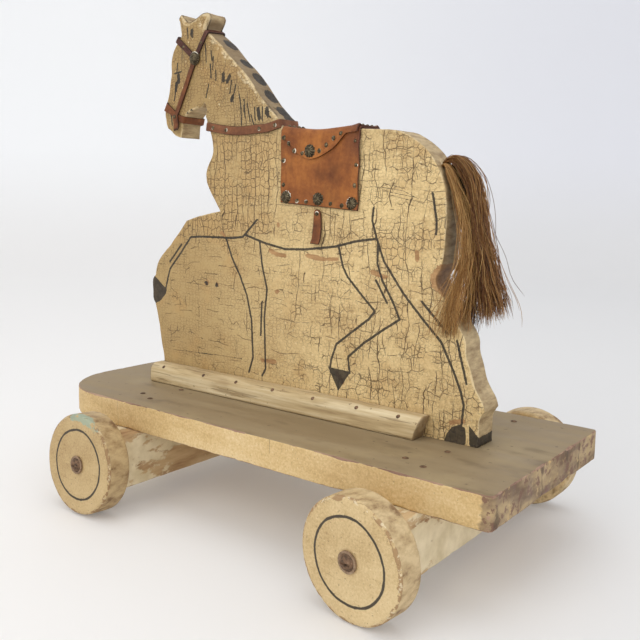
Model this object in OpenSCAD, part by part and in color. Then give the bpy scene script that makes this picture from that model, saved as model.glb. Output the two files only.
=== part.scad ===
// Pull along toy: a flat sawn horse standing on a wheeled board.
// Forward is +X, the horse's left side is +Y, up is +Z. The origin is on the floor under the
// middle of the whole toy. Millimetres.

/* [Board] */
// Length of the board
board_l = 460; // [440:1:520]
// Width of the board
board_w = 192; // [180:1:230]
// Thickness of the board, and of the plank the horse is sawn from
board_t = 24; // [20:1:26]
// Radius of the two front corners
front_corner_r = 66; // [40:1:80]
// Radius of the two rear corners
rear_corner_r = 4; // [2:0.5:12]

/* [Running gear] */
// Diameter of the wheels
wheel_d = 85; // [80:1:88]
// Thickness of the wheels
wheel_t = 22; // [18:1:26]
// Distance between the front and rear axles
wheelbase = 280; // [270:1:290]
// Distance from the rear end of the board back to the rear axle
rear_overhang = 72; // [60:1:80]
// Width of the two beams under the board, along the board
beam_w = 40; // [34:1:46]
// Height of the beams
beam_h = 47; // [44:1:50]
// How far each beam end stands out past the side of the board
beam_out = 22; // [18:1:30]
// Gap between a beam end and its wheel
wheel_gap = 5; // [4:0.5:8]
// Diameter of the wheel screws
screw_d = 6; // [5:0.5:7]
// Diameter of the wheel screws' slotted heads
screw_head_d = 12; // [10:0.5:13]
// Diameter of the washers under the heads
washer_d = 15; // [14:0.5:18]

/* [Horse] */
// Height of the horse above the board
horse_h = 339; // [330:1:350]
// Width of the battens beside the horse's foot
batten_w = 16; // [14:1:20]
// Height of the battens
batten_h = 18; // [14:1:22]
// Radius of the battens' rounded upper edge
batten_r = 8; // [4:1:10]

/* [Leather] */
// Thickness of the leather
leather_t = 1.6; // [1:0.1:2]
// Width of the bridle straps
bridle_w = 5.2; // [4:0.2:6]
// Width of the stirrup straps
stirrup_w = 8; // [6:0.5:9]
// Length of the stirrup straps below their tacks
stirrup_l = 24; // [18:1:30]

/* [Tacks] */
// Diameter of the small tacks' heads
tack_d = 4; // [3:0.2:5]
// Diameter of the daisy tacks' heads
daisy_d = 11.6; // [10:0.2:13]
// Diameter of the bridle's round buttons
button_d = 12; // [10:0.5:13]

/* [Hidden] */
$fn = 48;

// Screw eye for the pull cord, in the front edge of the board.
eye_r = 6;
eye_wire_r = 1.3;
eye_out = 16;
eye_depth = 16;

// The board's middle lies behind the toy's middle by half of what the eye adds in front.
centre_x = -eye_out / 2;
wheel_r = wheel_d / 2;
screw_r = screw_d / 2;
bore_r = screw_r + 0.06;
board_top = 89;
board_under = board_top - board_t;
rear_axle_x = rear_overhang - board_l / 2;
front_axle_x = rear_axle_x + wheelbase;
beam_end_y = board_w / 2 + beam_out;
wheel_y = beam_end_y + wheel_gap + wheel_t / 2;
washer_t = 1.2;
washer_gap = 0.2;
screw_head_t = 3;
slot_floor = 1.6;
slot_w = 1.6;
// How far a wheel screw goes in past its wheel.
screw_in = wheel_gap + 42;
side_y = board_t / 2;
// Rounding of the wheels' rims.
rim_r = 3;

// Each wheel turns on its own screw, and old screws point where they will.
// name, axle x, side (1 is left), lean in degrees, toe in degrees
WHEELS = [
    ["front_left", front_axle_x, 1, 4, 0.5],
    ["front_right", front_axle_x, -1, 2, 1],
    ["rear_left", rear_axle_x, 1, -0.8, 6.4],
    ["rear_right", rear_axle_x, -1, 1, -1]
];

// ---- Curves -------------------------------------------------------------------------------

// One Catmull-Rom span from b to c, with a and d as the neighbours.
function span(a, b, c, d, t) =
    0.5 * (2 * b + (c - a) * t + (2 * a - 5 * b + 4 * c - d) * t * t
    + (3 * b - a - 3 * c + d) * t * t * t);

// A smooth curve through points p, without the last point, so that curves chain at corners.
function smooth(p, steps = 4) =
    let (n = len(p) - 1)
    [for (i = [0 : n - 1]) for (s = [0 : steps - 1])
        span(p[max(i - 1, 0)], p[i], p[i + 1], p[min(i + 2, n)], s / steps)];

function last(p) = p[len(p) - 1];

// ---- The horse's outline: x from the board's middle, z above the board ---------------------

horse_k = horse_h / 339;

foot_front = [[163, 0], [163, 21], [166, 34], [169, 50], [172, 64], [175, 74]];
fore_hoof = [[175, 74], [178, 79], [178.5, 90], [178, 98], [174, 102]];
foreleg_front = [[174, 102], [173, 109], [167, 119], [153, 132], [139, 146], [130, 156]];
foreleg_top = [[130, 156], [112, 161], [86, 166]];
neck_front = [[86, 166], [95, 178], [103, 191], [104, 199], [101, 207], [96, 215], [95, 222],
    [97, 232], [101, 242], [105, 250]];
throat = [[105, 250], [103.5, 256], [106, 262]];
jaw = [[106, 262], [111, 258], [121, 256], [128, 253], [133, 246], [135, 238], [136, 232]];
muzzle = [[136, 232], [144, 234], [150, 239], [154, 241], [158, 251], [158, 260]];
face = [[158, 260], [153, 272], [150, 289], [149, 302], [145, 312], [137, 322], [138, 331],
    [136, 339]];
near_ear = [[136, 339], [132, 333], [127, 331], [116, 334], [109, 337], [100, 338]];
ear_back = [[100, 338], [103, 332], [105, 325]];
crest = [[105, 325], [94, 317], [86, 311], [74, 299], [62, 289], [50, 277], [39, 264],
    [27, 252], [17, 243], [13, 235]];
seat = [[13, 235], [-5, 232.5], [-26, 231], [-46, 232], [-67, 233.5]];
rump = [[-67, 233.5], [-93, 232], [-104, 230], [-112, 226], [-120, 221], [-128, 214],
    [-134, 206], [-138, 199], [-142, 188], [-144, 172], [-144, 158], [-143, 140], [-141, 129]];
chip = [[-141, 129], [-137, 123], [-139, 115], [-142, 113]];
rear_leg = [[-142, 113], [-150, 100], [-158, 88], [-164, 78], [-165, 68], [-169, 57],
    [-173, 45], [-180, 34], [-182, 28]];
heel = [[-182, 28], [-179.5, 24], [-178, 20]];

outline = concat(smooth(foot_front), smooth(fore_hoof), smooth(foreleg_front),
    smooth(foreleg_top), smooth(neck_front), smooth(throat), smooth(jaw), smooth(muzzle),
    smooth(face), smooth(near_ear), smooth(ear_back), smooth(crest), smooth(seat),
    smooth(rump), smooth(chip), smooth(rear_leg), smooth(heel), [[-178, 20], [-178, 0]]);

// The back under the saddle, raised by the leather's layers.
function seat_line(layers) =
    [for (p = concat(smooth(seat), [last(seat)])) p + [0, layers * leather_t]];

// The tail is set in a hole that slants up and back out of the rump.
tail_root = [-133, 207];
tail_slant = 37;
peg_r = 4.5;
peg_l = 20;

// ---- Placing ------------------------------------------------------------------------------

// Moves board coordinates to the toy's frame.
module on_board() {
    translate([centre_x, 0, board_top]) children();
}

// A flat outline in the horse's plane, made solid from y0 to y1.
module plank(y0, y1) {
    translate([0, y1, 0]) rotate([90, 0, 0]) linear_extrude(y1 - y0)
        scale([horse_k, horse_k]) children();
}

// The same on both faces, as far out as half, through the plank.
module through(half) {
    plank(-half, half) children();
}

module horse_shape() {
    polygon(outline);
}

// A straight strap from p to q, of width w, in the horse's plane.
module strap(p, q, w) {
    d = q - p;
    translate(p) rotate(atan2(d[1], d[0])) translate([0, -w / 2]) square([norm(d), w]);
}

// Leather folded round the plank: the area on both faces and over the edge between them.
module folded(layers) {
    difference() {
        through(side_y + layers * leather_t) children();
        through(side_y) horse_shape();
    }
}

// Puts children at points of the horse's plane, pointing out of one face (side 1 is left).
module on_face(points, side, layers) {
    for (p = points)
        translate([horse_k * p[0], side * (side_y + layers * leather_t), horse_k * p[1]])
            rotate([side * -90, 0, 0]) children();
}

// A tack along +Z with its head's underside at z = 0 and its point below.
module tack(head_d, head_h, pin_r, pin_l) {
    ball_r = (head_d * head_d / 4 + head_h * head_h) / (2 * head_h);
    intersection() {
        translate([0, 0, head_h - ball_r]) sphere(ball_r);
        cylinder(r = head_d / 2, h = head_h + 1);
    }
    translate([0, 0, -pin_l]) cylinder(r = pin_r, h = pin_l, $fn = 16);
}

module small_tack(layers) {
    tack(tack_d, 1.4, 0.6, 7 + layers * leather_t);
}

// ---- Board and running gear ---------------------------------------------------------------

module board_shape() {
    x1 = board_l / 2;
    y1 = board_w / 2;
    square([board_l, board_w - 2 * front_corner_r], center = true);
    translate([-x1, -y1 + rear_corner_r])
        square([board_l - front_corner_r, board_w - 2 * rear_corner_r]);
    translate([-x1 + rear_corner_r, -y1])
        square([board_l - front_corner_r - rear_corner_r, board_w]);
    for (s = [-1, 1]) {
        translate([x1 - front_corner_r, s * (y1 - front_corner_r)]) circle(front_corner_r, $fn = 96);
        translate([-x1 + rear_corner_r, s * (y1 - rear_corner_r)]) circle(rear_corner_r);
    }
}

module platform() {
    color("tan") translate([centre_x, 0, board_under]) linear_extrude(board_t) board_shape();
}

module beam(x) {
    color("wheat") difference() {
        translate([centre_x + x - beam_w / 2, -beam_end_y, board_under - beam_h])
            cube([beam_w, 2 * beam_end_y, beam_h]);
        for (w = WHEELS) if (w[1] == x)
            at_wheel(w) along_screw(-wheel_t / 2 - screw_in, screw_in) cylinder(r = screw_r, h = screw_in);
    }
}

module beam_nails() {
    places = [[-10, 74], [9, 66], [-7, 34]];
    color("dimgray") for (x = [front_axle_x, rear_axle_x], s = [-1, 1], n = places)
        translate([centre_x + x + n[0], s * n[1], board_top]) tack(5, 0.8, 1.2, 44);
}

module foot_screws() {
    color("dimgray") for (x = [68, -30, -115])
        translate([centre_x + x, 0, board_under]) mirror([0, 0, 1]) tack(8, 2, 2, 46);
}

// Moves to the middle of a wheel with the wheel's axis along +Y, pointing outwards.
// The centre's height keeps the lowest point of the leaning wheel on the floor.
module at_wheel(w) {
    z = (wheel_r - rim_r) * cos(w[3]) + (wheel_t / 2 - rim_r) * abs(sin(w[3])) + rim_r;
    if (w[2] > 0)
        translate([centre_x + w[1], wheel_y, z]) rotate([w[3], 0, -w[4]]) children();
    else
        mirror([0, 1, 0]) translate([centre_x + w[1], wheel_y, z]) rotate([w[3], 0, -w[4]])
            children();
}

// Lays a piece of length l, made along +Z, along the wheel's axis from y0 outwards.
module along_screw(y0, l) {
    translate([0, y0 + l, 0]) rotate([90, 0, 0]) children();
}

module wheel_profile() {
    square_r = wheel_r - rim_r;
    translate([bore_r, 0]) square([square_r - bore_r, wheel_t]);
    translate([bore_r, rim_r]) square([wheel_r - bore_r, wheel_t - 2 * rim_r]);
    for (y = [rim_r, wheel_t - rim_r]) translate([square_r, y]) circle(rim_r, $fn = 24);
}

module wheel(i) {
    color("burlywood") at_wheel(WHEELS[i]) along_screw(-wheel_t / 2, wheel_t)
        rotate_extrude($fn = 96) wheel_profile();
}

module washer(i) {
    color("sienna") at_wheel(WHEELS[i]) along_screw(wheel_t / 2 + washer_gap, washer_t)
        rotate_extrude() translate([bore_r, 0]) square([washer_d / 2 - bore_r, washer_t]);
}

module wheel_screw(i) {
    head_y = wheel_t / 2 + washer_gap + washer_t;
    l = head_y + wheel_t / 2 + screw_in;
    color("saddlebrown") at_wheel(WHEELS[i]) {
        along_screw(head_y - l, l) cylinder(r = screw_r, h = l);
        difference() {
            translate([0, head_y, 0]) rotate([-90, 0, 0]) tack(screw_head_d, screw_head_t, 1, 1);
            translate([-screw_head_d, head_y + slot_floor, -slot_w / 2])
                cube([2 * screw_head_d, screw_head_t, slot_w]);
        }
    }
}

// ---- Horse --------------------------------------------------------------------------------

// A cylinder along the tail's slant, from l inside the rump to just outside it.
module along_slant(r, l) {
    translate([horse_k * tail_root[0], 0, horse_k * tail_root[1]])
        rotate([0, tail_slant - 90, 0]) translate([0, 0, -l]) cylinder(r = r, h = l + 6);
}

module horse() {
    color("khaki") on_board() difference() {
        through(side_y) horse_shape();
        along_slant(peg_r, peg_l);
    }
}

module tail_peg() {
    color("tan") on_board() intersection() {
        along_slant(peg_r, peg_l);
        through(side_y) horse_shape();
    }
}

// A soft tapering bundle: balls of [x, z, radius] joined in a chain.
module tail_hair() {
    tail = [[-140, 212, 5], [-148, 209, 7], [-156, 197, 9], [-160, 174, 11.5],
        [-162, 148, 13], [-169, 124, 14], [-176, 103, 12]];
    color("sienna") on_board() for (i = [0 : len(tail) - 2])
        hull() for (b = [tail[i], tail[i + 1]])
            translate([horse_k * b[0], 0, horse_k * b[1]]) sphere(b[2], $fn = 20);
}

batten_x0 = -133;
batten_x1 = 165;

module batten_section() {
    y1 = batten_w - batten_r;
    z1 = batten_h - batten_r;
    square([y1, batten_h]);
    square([batten_w, z1]);
    translate([y1, z1]) circle(batten_r);
}

module batten_left() {
    color("moccasin") on_board() intersection() {
        translate([batten_x1, side_y, 0]) rotate([90, 0, -90]) mirror([1, 0, 0])
            linear_extrude(batten_x1 - batten_x0) batten_section();
        translate([batten_x0, side_y, 0]) cube([batten_x1 - batten_x0, batten_w, batten_h]);
    }
}

module batten_right() {
    mirror([0, 1, 0]) batten_left();
}

module batten_nails_left() {
    y = side_y + batten_w - batten_r * (1 - cos(45));
    z = batten_h - batten_r * (1 - sin(45));
    color("dimgray") on_board() for (x = [148, 94, 53, 10, -34, -78, -117])
        translate([x, y, z]) rotate([-45, 0, 0]) tack(3.4, 0.7, 0.8, 26);
}

module batten_nails_right() {
    mirror([0, 1, 0]) batten_nails_left();
}

// ---- Saddle -------------------------------------------------------------------------------

saddle_front_x = 13;
saddle_rear_x = -67;
scallop = [[-66, 233], [-54, 231.5], [-44, 226], [-36, 219], [-28, 214], [-19, 212],
    [-10, 214], [-3, 219], [3, 226], [11, 232]];

module saddle_shape() {
    polygon(concat(seat_line(1), [[saddle_rear_x, 170], [saddle_front_x, 175]]));
}

module skirt_shape() {
    intersection() {
        polygon(concat(seat_line(2), smooth(scallop), [last(scallop)]));
        translate([saddle_rear_x, 200]) square([saddle_front_x - 1.5 - saddle_rear_x, 50]);
    }
}

module saddle() {
    color("peru") on_board() folded(1) saddle_shape();
}

module saddle_skirt() {
    color("peru") on_board() difference() {
        folded(2) skirt_shape();
        through(side_y + leather_t) saddle_shape();
    }
}

// The strap hangs on its tack, a little clear of the wood, and can swing.
stirrup_tack = [-26, 167];
strap_clear = 0.3;
strap_hole_r = 0.9;

module stirrup_strap_left() {
    color("chocolate") on_board() translate([0, strap_clear, 0]) difference() {
        plank(side_y, side_y + leather_t) {
            translate(stirrup_tack) circle(stirrup_w / 2 - 0.6);
            translate(stirrup_tack) polygon([[-stirrup_w / 2 + 1.2, 1], [stirrup_w / 2 - 1.2, 1],
                [stirrup_w / 2, -stirrup_l], [-stirrup_w / 2, -stirrup_l - 1]]);
        }
        on_face([stirrup_tack], 1, 0) translate([0, 0, -5]) cylinder(r = strap_hole_r, h = 20);
    }
}

module stirrup_strap_right() {
    mirror([0, 1, 0]) stirrup_strap_left();
}

module stirrup_tacks() {
    color("goldenrod") on_board() for (s = [-1, 1]) on_face([stirrup_tack], s, 0)
        translate([0, 0, leather_t + 2 * strap_clear]) tack(tack_d, 1.4, strap_hole_r - 0.06, 10);
}

daisy_on_saddle = [[7, 180], [-27, 179], [-61, 176]];
daisy_on_skirt = [[-19, 217]];

// A flower head: a ring of petals round a domed middle, on a pin.
module daisy(layers) {
    petals = 9;
    petal_r = daisy_d * 0.17;
    linear_extrude(1) {
        circle(daisy_d * 0.34);
        for (i = [0 : petals - 1]) rotate(i * 360 / petals)
            translate([daisy_d / 2 - petal_r, 0]) circle(petal_r, $fn = 24);
    }
    translate([0, 0, 1]) tack(daisy_d * 0.42, 1.6, 1, 9 + layers * leather_t);
}

module daisy_tacks() {
    color("goldenrod") on_board() for (s = [-1, 1]) {
        on_face(daisy_on_saddle, s, 1) daisy(1);
        on_face(daisy_on_skirt, s, 2) daisy(2);
    }
}

tacks_on_saddle = [[10, 210], [10, 190], [-64, 206], [-64, 190], [-5, 177], [-15, 176],
    [-40, 175], [-51, 174], [-63, 224]];
tacks_on_skirt = [[8.5, 228.5], [3, 223.5], [-3, 217.5], [-11, 215.5], [-28.5, 217],
    [-36, 221.5], [-43, 226.5], [-50, 230]];

module saddle_tacks() {
    color("goldenrod") on_board() for (s = [-1, 1]) {
        on_face(tacks_on_saddle, s, 1) small_tack(1);
        on_face(tacks_on_skirt, s, 2) small_tack(2);
    }
}

// Tacks in a row across the back, standing on a surface at [x, z] tilted by lean degrees.
module tack_row(p, lean, layers) {
    for (y = [-9, -3, 3, 9]) translate([horse_k * p[0], y, horse_k * p[1] + layers * leather_t])
        rotate([0, lean, 0]) small_tack(layers);
}

module pommel_tacks() {
    color("goldenrod") on_board() tack_row([8, 234.3], 7, 2);
}

module cantle_tacks() {
    color("goldenrod") on_board() tack_row([-62, 233.2], -4, 2);
}

// ---- Breast band and bridle ---------------------------------------------------------------

band_upper = [[98, 243.5], [84, 240.5], [70, 239], [56, 239.5], [43, 241], [30, 241.5], [18, 243]];
band_lower = [[14.2, 236], [24, 233], [35, 232], [54, 232], [73, 233.5], [86, 235.5], [98, 237]];

module breast_band() {
    over_withers = [[16.6, 244.2], [13.2, 238.6]];
    round_chest = [[101, 236.8], [103.6, 244]];
    color("maroon") on_board() folded(1) polygon(concat(smooth(band_upper), [last(band_upper)],
        over_withers, smooth(band_lower), [last(band_lower)], round_chest));
}

module breast_band_tacks() {
    color("goldenrod") on_board() for (s = [-1, 1])
        on_face([[93, 239.5], [77, 237], [38, 236.3], [20.5, 238.5]], s, 1) small_tack(1);
}

button_at = [116, 301];
button_boss_r = 4.5;
cheek_end = [140.5, 252.5];

module button_gap() {
    translate(button_at) circle(button_boss_r + 0.1);
}

module cheek_shape() {
    difference() {
        strap(button_at, cheek_end, bridle_w);
        button_gap();
    }
    strap([140.5, 254], [138.5, 239], bridle_w);
}

module crown_strap() {
    color("saddlebrown") on_board() folded(1) difference() {
        strap(button_at, [100.2, 324.2], bridle_w - 0.4);
        button_gap();
    }
}

module brow_band() {
    color("saddlebrown") on_board() folded(1) difference() {
        strap(button_at, [142.3, 321.8], bridle_w);
        button_gap();
    }
}

module cheek_strap_left() {
    color("saddlebrown") on_board() plank(side_y, side_y + leather_t) cheek_shape();
}

module cheek_strap_right() {
    mirror([0, 1, 0]) cheek_strap_left();
}

module nose_band() {
    color("saddlebrown") on_board() folded(1) difference() {
        strap([140.5, 254], [157, 264.6], bridle_w + 1);
        cheek_shape();
    }
}

module chin_strap() {
    color("saddlebrown") on_board() folded(1) difference() {
        strap([140.5, 252], [129.6, 247.6], bridle_w);
        cheek_shape();
    }
}

module bridle_button(side) {
    color("goldenrod") on_board() on_face([button_at], side, 0) {
        translate([0, 0, leather_t]) tack(button_d, 3, 1, 10);
        cylinder(r = button_boss_r, h = leather_t);
    }
}

module bridle_tacks() {
    color("goldenrod") on_board() for (s = [-1, 1]) {
        on_face([[130, 312], [107.5, 313.5]], s, 1) tack(3, 1, 0.6, 8);
        on_face([[141, 251]], s, 1) small_tack(1);
    }
}

// ---- Pull eye -----------------------------------------------------------------------------

module pull_eye() {
    ring_x = board_l / 2 + eye_out - eye_r - eye_wire_r;
    color("gray") translate([centre_x, 0, board_top - board_t / 2]) {
        translate([ring_x, 0, 0]) rotate([90, 0, 0]) rotate_extrude()
            translate([eye_r, 0]) circle(eye_wire_r, $fn = 24);
        translate([board_l / 2 - eye_depth, 0, 0]) rotate([0, 90, 0])
            cylinder(r = eye_wire_r, h = ring_x - eye_r - board_l / 2 + eye_depth, $fn = 24);
    }
}

platform();
horse();
batten_left();
batten_right();
batten_nails_left();
batten_nails_right();
beam(front_axle_x);  // front_beam
beam(rear_axle_x);  // rear_beam
beam_nails();
foot_screws();
wheel(0);  // wheel_front_left
wheel(1);  // wheel_front_right
wheel(2);  // wheel_rear_left
wheel(3);  // wheel_rear_right
wheel_screw(0);  // screw_front_left
wheel_screw(1);  // screw_front_right
wheel_screw(2);  // screw_rear_left
wheel_screw(3);  // screw_rear_right
washer(0);  // washer_front_left
washer(1);  // washer_front_right
washer(2);  // washer_rear_left
washer(3);  // washer_rear_right
saddle();
saddle_skirt();
stirrup_strap_left();
stirrup_strap_right();
stirrup_tacks();
daisy_tacks();
saddle_tacks();
pommel_tacks();
cantle_tacks();
breast_band();
breast_band_tacks();
crown_strap();
brow_band();
cheek_strap_left();
cheek_strap_right();
nose_band();
chin_strap();
bridle_button(1);  // bridle_button_left
bridle_button(-1);  // bridle_button_right
bridle_tacks();
tail_peg();
tail_hair();
pull_eye();
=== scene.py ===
"""Looks of the pull along toy: an old painted wooden horse on a wheeled board.

Metres, +X forward, +Y the horse's left side, +Z up, origin on the floor under the toy's middle.
Sizes are written in millimetres, in board coordinates: x from the board's middle and z above the
board's top, and put() turns them into the frame.
"""

import random
from math import cos, pi, radians, sin, sqrt

import bpy
import numpy as np
from mathutils import Matrix, Vector, noise
from mathutils.geometry import delaunay_2d_cdt


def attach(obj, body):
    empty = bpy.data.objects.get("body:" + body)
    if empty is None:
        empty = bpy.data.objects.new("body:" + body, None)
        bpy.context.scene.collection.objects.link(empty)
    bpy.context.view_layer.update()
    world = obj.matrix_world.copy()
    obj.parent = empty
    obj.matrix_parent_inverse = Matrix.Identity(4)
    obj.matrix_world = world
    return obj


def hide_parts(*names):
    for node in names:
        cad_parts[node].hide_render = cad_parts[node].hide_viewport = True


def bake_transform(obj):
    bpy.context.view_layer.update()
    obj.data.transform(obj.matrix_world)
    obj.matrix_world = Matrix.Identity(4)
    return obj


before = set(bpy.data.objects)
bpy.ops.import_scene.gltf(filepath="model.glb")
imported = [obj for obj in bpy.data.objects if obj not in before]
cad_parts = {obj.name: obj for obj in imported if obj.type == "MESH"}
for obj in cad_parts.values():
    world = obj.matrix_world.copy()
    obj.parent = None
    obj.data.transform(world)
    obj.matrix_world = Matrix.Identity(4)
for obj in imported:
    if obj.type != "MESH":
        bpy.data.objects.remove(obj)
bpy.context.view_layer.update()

MM = 0.001
CENTRE_X = -8.0  # the board's middle in the frame
TOP = 89.0  # the board's top above the floor
SIDE = 12.0  # the horse's side from its middle
BOARD_T = 24.0
FRONT_AXLE, REAR_AXLE, WHEEL_Y = 122, -158, 134
LEATHER = 1.6  # saddle leather
UNDER = 0.15  # the gap under the saddle
STRAP = 1.5  # bridle and breast band leather


# ---- Points and curves ----------------------------------------------------------------------

def put(x, y, z):
    """A point of board coordinates, in the frame."""
    return ((x + CENTRE_X) * MM, y * MM, (z + TOP) * MM)


def smooth(points, steps=6):
    """A Catmull-Rom curve through the points, with its last point."""
    p = [np.array(q, float) for q in points]
    n = len(p) - 1
    out = []
    for i in range(n):
        a, b, c, d = p[max(i - 1, 0)], p[i], p[i + 1], p[min(i + 2, n)]
        for s in range(steps):
            t = s / steps
            out.append(0.5 * (2 * b + (c - a) * t + (2 * a - 5 * b + 4 * c - d) * t * t
                              + (3 * b - a - 3 * c + d) * t ** 3))
    return out + [p[n]]


def spaced(points, step):
    """The same line with points about step apart, ends kept."""
    p = np.array(points, float)
    run = np.concatenate([[0], np.cumsum(np.linalg.norm(np.diff(p, axis=0), axis=1))])
    n = max(1, round(run[-1] / step))
    at = np.linspace(0, run[-1], n + 1)
    return np.stack([np.interp(at, run, p[:, k]) for k in range(p.shape[1])], axis=1)


def along(points, t):
    """The point a share t of the way along a line."""
    p = np.array(points, float)
    run = np.concatenate([[0], np.cumsum(np.linalg.norm(np.diff(p, axis=0), axis=1))])
    return np.array([np.interp(t * run[-1], run, p[:, k]) for k in range(p.shape[1])])


def wobble(x, y, z=0.0, scale=1.0):
    """Smooth noise from about -1 to 1."""
    return noise.noise(Vector((x * scale, y * scale, z * scale)))


def to_lines(p, lines):
    """Distance from each point in p to the nearest of the lines."""
    best = np.full(len(p), 1e9)
    for line in lines:
        q = np.array(line, float)
        for a, b in zip(q[:-1], q[1:]):
            d = b - a
            t = np.clip(((p - a) @ d) / max(d @ d, 1e-9), 0, 1)
            best = np.minimum(best, np.linalg.norm(p - a - t[:, None] * d, axis=1))
    return best


def inside(p, polygon):
    """Whether each point in p is inside the polygon."""
    q = np.array(polygon, float)
    r = np.roll(q, -1, axis=0)
    hit = np.zeros(len(p), bool)
    for a, b in zip(q, r):
        cross = (a[1] > p[:, 1]) != (b[1] > p[:, 1])
        x = (b[0] - a[0]) * (p[:, 1] - a[1]) / (b[1] - a[1] if b[1] != a[1] else 1e-9) + a[0]
        hit ^= cross & (p[:, 0] < x)
    return hit


# ---- Meshes ---------------------------------------------------------------------------------

def mesh(name, verts, faces, mat, marks=None):
    data = bpy.data.meshes.new(name)
    data.from_pydata([tuple(v) for v in verts], [], [tuple(f) for f in faces])
    data.materials.append(mat)
    if marks is not None:
        colours = np.ones((len(verts), 4), np.float32)
        colours[:, :3] = marks
        data.attributes.new("marks", "FLOAT_COLOR", "POINT").data.foreach_set(
            "color", colours.ravel())
    data.polygons.foreach_set("use_smooth", [True] * len(data.polygons))
    data.update()
    obj = bpy.data.objects.new(name, data)
    bpy.context.scene.collection.objects.link(obj)
    return obj


def rings(rows, n, joined=False):
    """Faces between rows of n points each, and from the last row to the first if joined."""
    faces = []
    for k in range(rows if joined else rows - 1):
        a, b = k * n, (k + 1) % rows * n
        for i in range(n):
            j = (i + 1) % n
            faces.append((a + i, a + j, b + j, b + i))
    return faces


def flipped(faces):
    return [tuple(reversed(f)) for f in faces]


def join(parts):
    """Vertices, faces and marks of several pieces as one."""
    verts, faces, marks = [], [], []
    for v, f, m in parts:
        base = len(verts)
        verts += [tuple(q) for q in v]
        faces += [tuple(i + base for i in g) for g in f]
        marks += [tuple(q) for q in m]
    return verts, faces, marks


def place(obj, body, nodes):
    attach(obj, body)
    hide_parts(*nodes)


def slab(outline, lo, hi, to3d, radius, step, mark, extra=(), inner_rows=7, bumps=0.12, saw=0.12):
    """A plank cut to a closed outline, anticlockwise, from lo to hi, with worn round edges.

    radius(i) is the edges' rounding at outline point i, and mark(p, w, rim) gives three marks
    for points p, with w from lo to hi and rim 1 on the sawn edge."""
    o = np.array(outline, float)
    n = len(o)
    tangent = np.roll(o, -1, axis=0) - np.roll(o, 1, axis=0)
    normal = np.stack([tangent[:, 1], -tangent[:, 0]], axis=1)
    normal /= np.maximum(np.linalg.norm(normal, axis=1), 1e-9)[:, None]
    r = np.array([radius(i) for i in range(n)])
    rows = []
    for t in (0, 30, 60, 90):
        a = radians(t)
        rows.append((r * (1 - sin(a)), lo + r * (1 - cos(a)), t / 90))
    for k in range(1, inner_rows + 1):
        w = lo + (hi - lo) * k / (inner_rows + 1)
        rows.append((np.zeros(n), np.full(n, w), 1))
    for t in (90, 60, 30, 0):
        a = radians(t)
        rows.append((r * (1 - sin(a)), hi - r * (1 - cos(a)), t / 90))
    verts, flat, rim, depth = [], [], [], []
    for k, (inset, w, share) in enumerate(rows):
        for i in range(n):
            cut = saw * wobble(o[i, 0], o[i, 1], w[i] * 0.3, 0.35) if share == 1 else 0
            q = o[i] - normal[i] * (inset[i] + cut)
            flat.append(q)
            depth.append(w[i])
            rim.append(share)
            verts.append(to3d(q[0], q[1], w[i]))
    faces = rings(len(rows), n)
    ring = np.array(flat[:n])
    x0, z0 = ring.min(0)
    x1, z1 = ring.max(0)
    gx, gz = np.meshgrid(np.arange(x0, x1, step), np.arange(z0, z1, step))
    points = np.stack([gx.ravel(), gz.ravel()], axis=1)
    rng = np.random.default_rng(4)
    points += rng.uniform(-0.2, 0.2, points.shape) * step
    if len(extra):
        fine = np.array(extra, float)
        cell = {(round(q[0] / 2), round(q[1] / 2)) for q in fine}
        keep = [(round(q[0] / 2), round(q[1] / 2)) not in cell for q in points]
        points = np.concatenate([points[keep], fine])
    points = points[inside(points, ring)]
    near = to_lines(points, [np.concatenate([ring, ring[:1]])])
    points = points[near > 0.5]
    all2d = np.concatenate([ring, points])
    out, _, tris, origin, _, _ = delaunay_2d_cdt(
        [Vector(q) for q in all2d], [], [list(range(n))], 1, 1e-5)
    for top in (False, True):
        w0 = hi if top else lo
        index = []
        for q, source in zip(out, origin):
            if source and source[0] < n:
                index.append(source[0] + (len(rows) - 1) * n if top else source[0])
                continue
            b = bumps * (wobble(q[0], q[1], w0, 0.09) + 0.5 * wobble(q[0], q[1], w0, 0.31))
            index.append(len(verts))
            verts.append(to3d(q[0], q[1], w0 + (b - bumps if top else bumps - b)))
            flat.append(np.array(q))
            depth.append(w0)
            rim.append(0)
        for t in tris:
            a, b, c = (index[k] for k in t)
            faces.append((a, b, c) if top else (c, b, a))
    marks = mark(np.array(flat), np.array(depth), np.array(rim, float))
    return verts, faces, marks


def sheet_grid(grid, normals, thick, closed=False):
    """A thin sheet over a grid of points (rows, columns, 3), rounded off at its border.

    The marks' blue is 1 at the border. closed joins the last row to the first."""
    g = np.array(grid, float)
    m = np.array(normals, float)
    rows, cols = g.shape[:2]
    border = np.zeros((rows, cols), bool)
    border[:, 0] = border[:, -1] = True
    if not closed:
        border[0] = border[-1] = True
    verts, marks, outer, inner = [], [], {}, {}
    for i in range(rows):
        for j in range(cols):
            edge = min(j, cols - 1 - j)
            if not closed:
                edge = min(edge, i, rows - 1 - i)
            blue = (1, 0.85, 0.25)[edge] if edge < 3 else 0
            lift = (0.5, 0.93, 1)[min(edge, 2)]
            outer[i, j] = len(verts)
            verts.append(g[i, j] + m[i, j] * thick * lift)
            marks.append((0, 0, blue))
            if border[i, j]:
                inner[i, j] = outer[i, j]
            else:
                inner[i, j] = len(verts)
                verts.append(g[i, j] + m[i, j] * thick * (0.07 if edge == 1 else 0))
                marks.append((0, 1, blue))
    faces = []
    for i in range(rows if closed else rows - 1):
        k = (i + 1) % rows
        for j in range(cols - 1):
            quad = [(i, j), (k, j), (k, j + 1), (i, j + 1)]
            faces.append([outer[q] for q in quad])
            faces.append([inner[q] for q in quad][::-1])
    return verts, faces, marks


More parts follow.
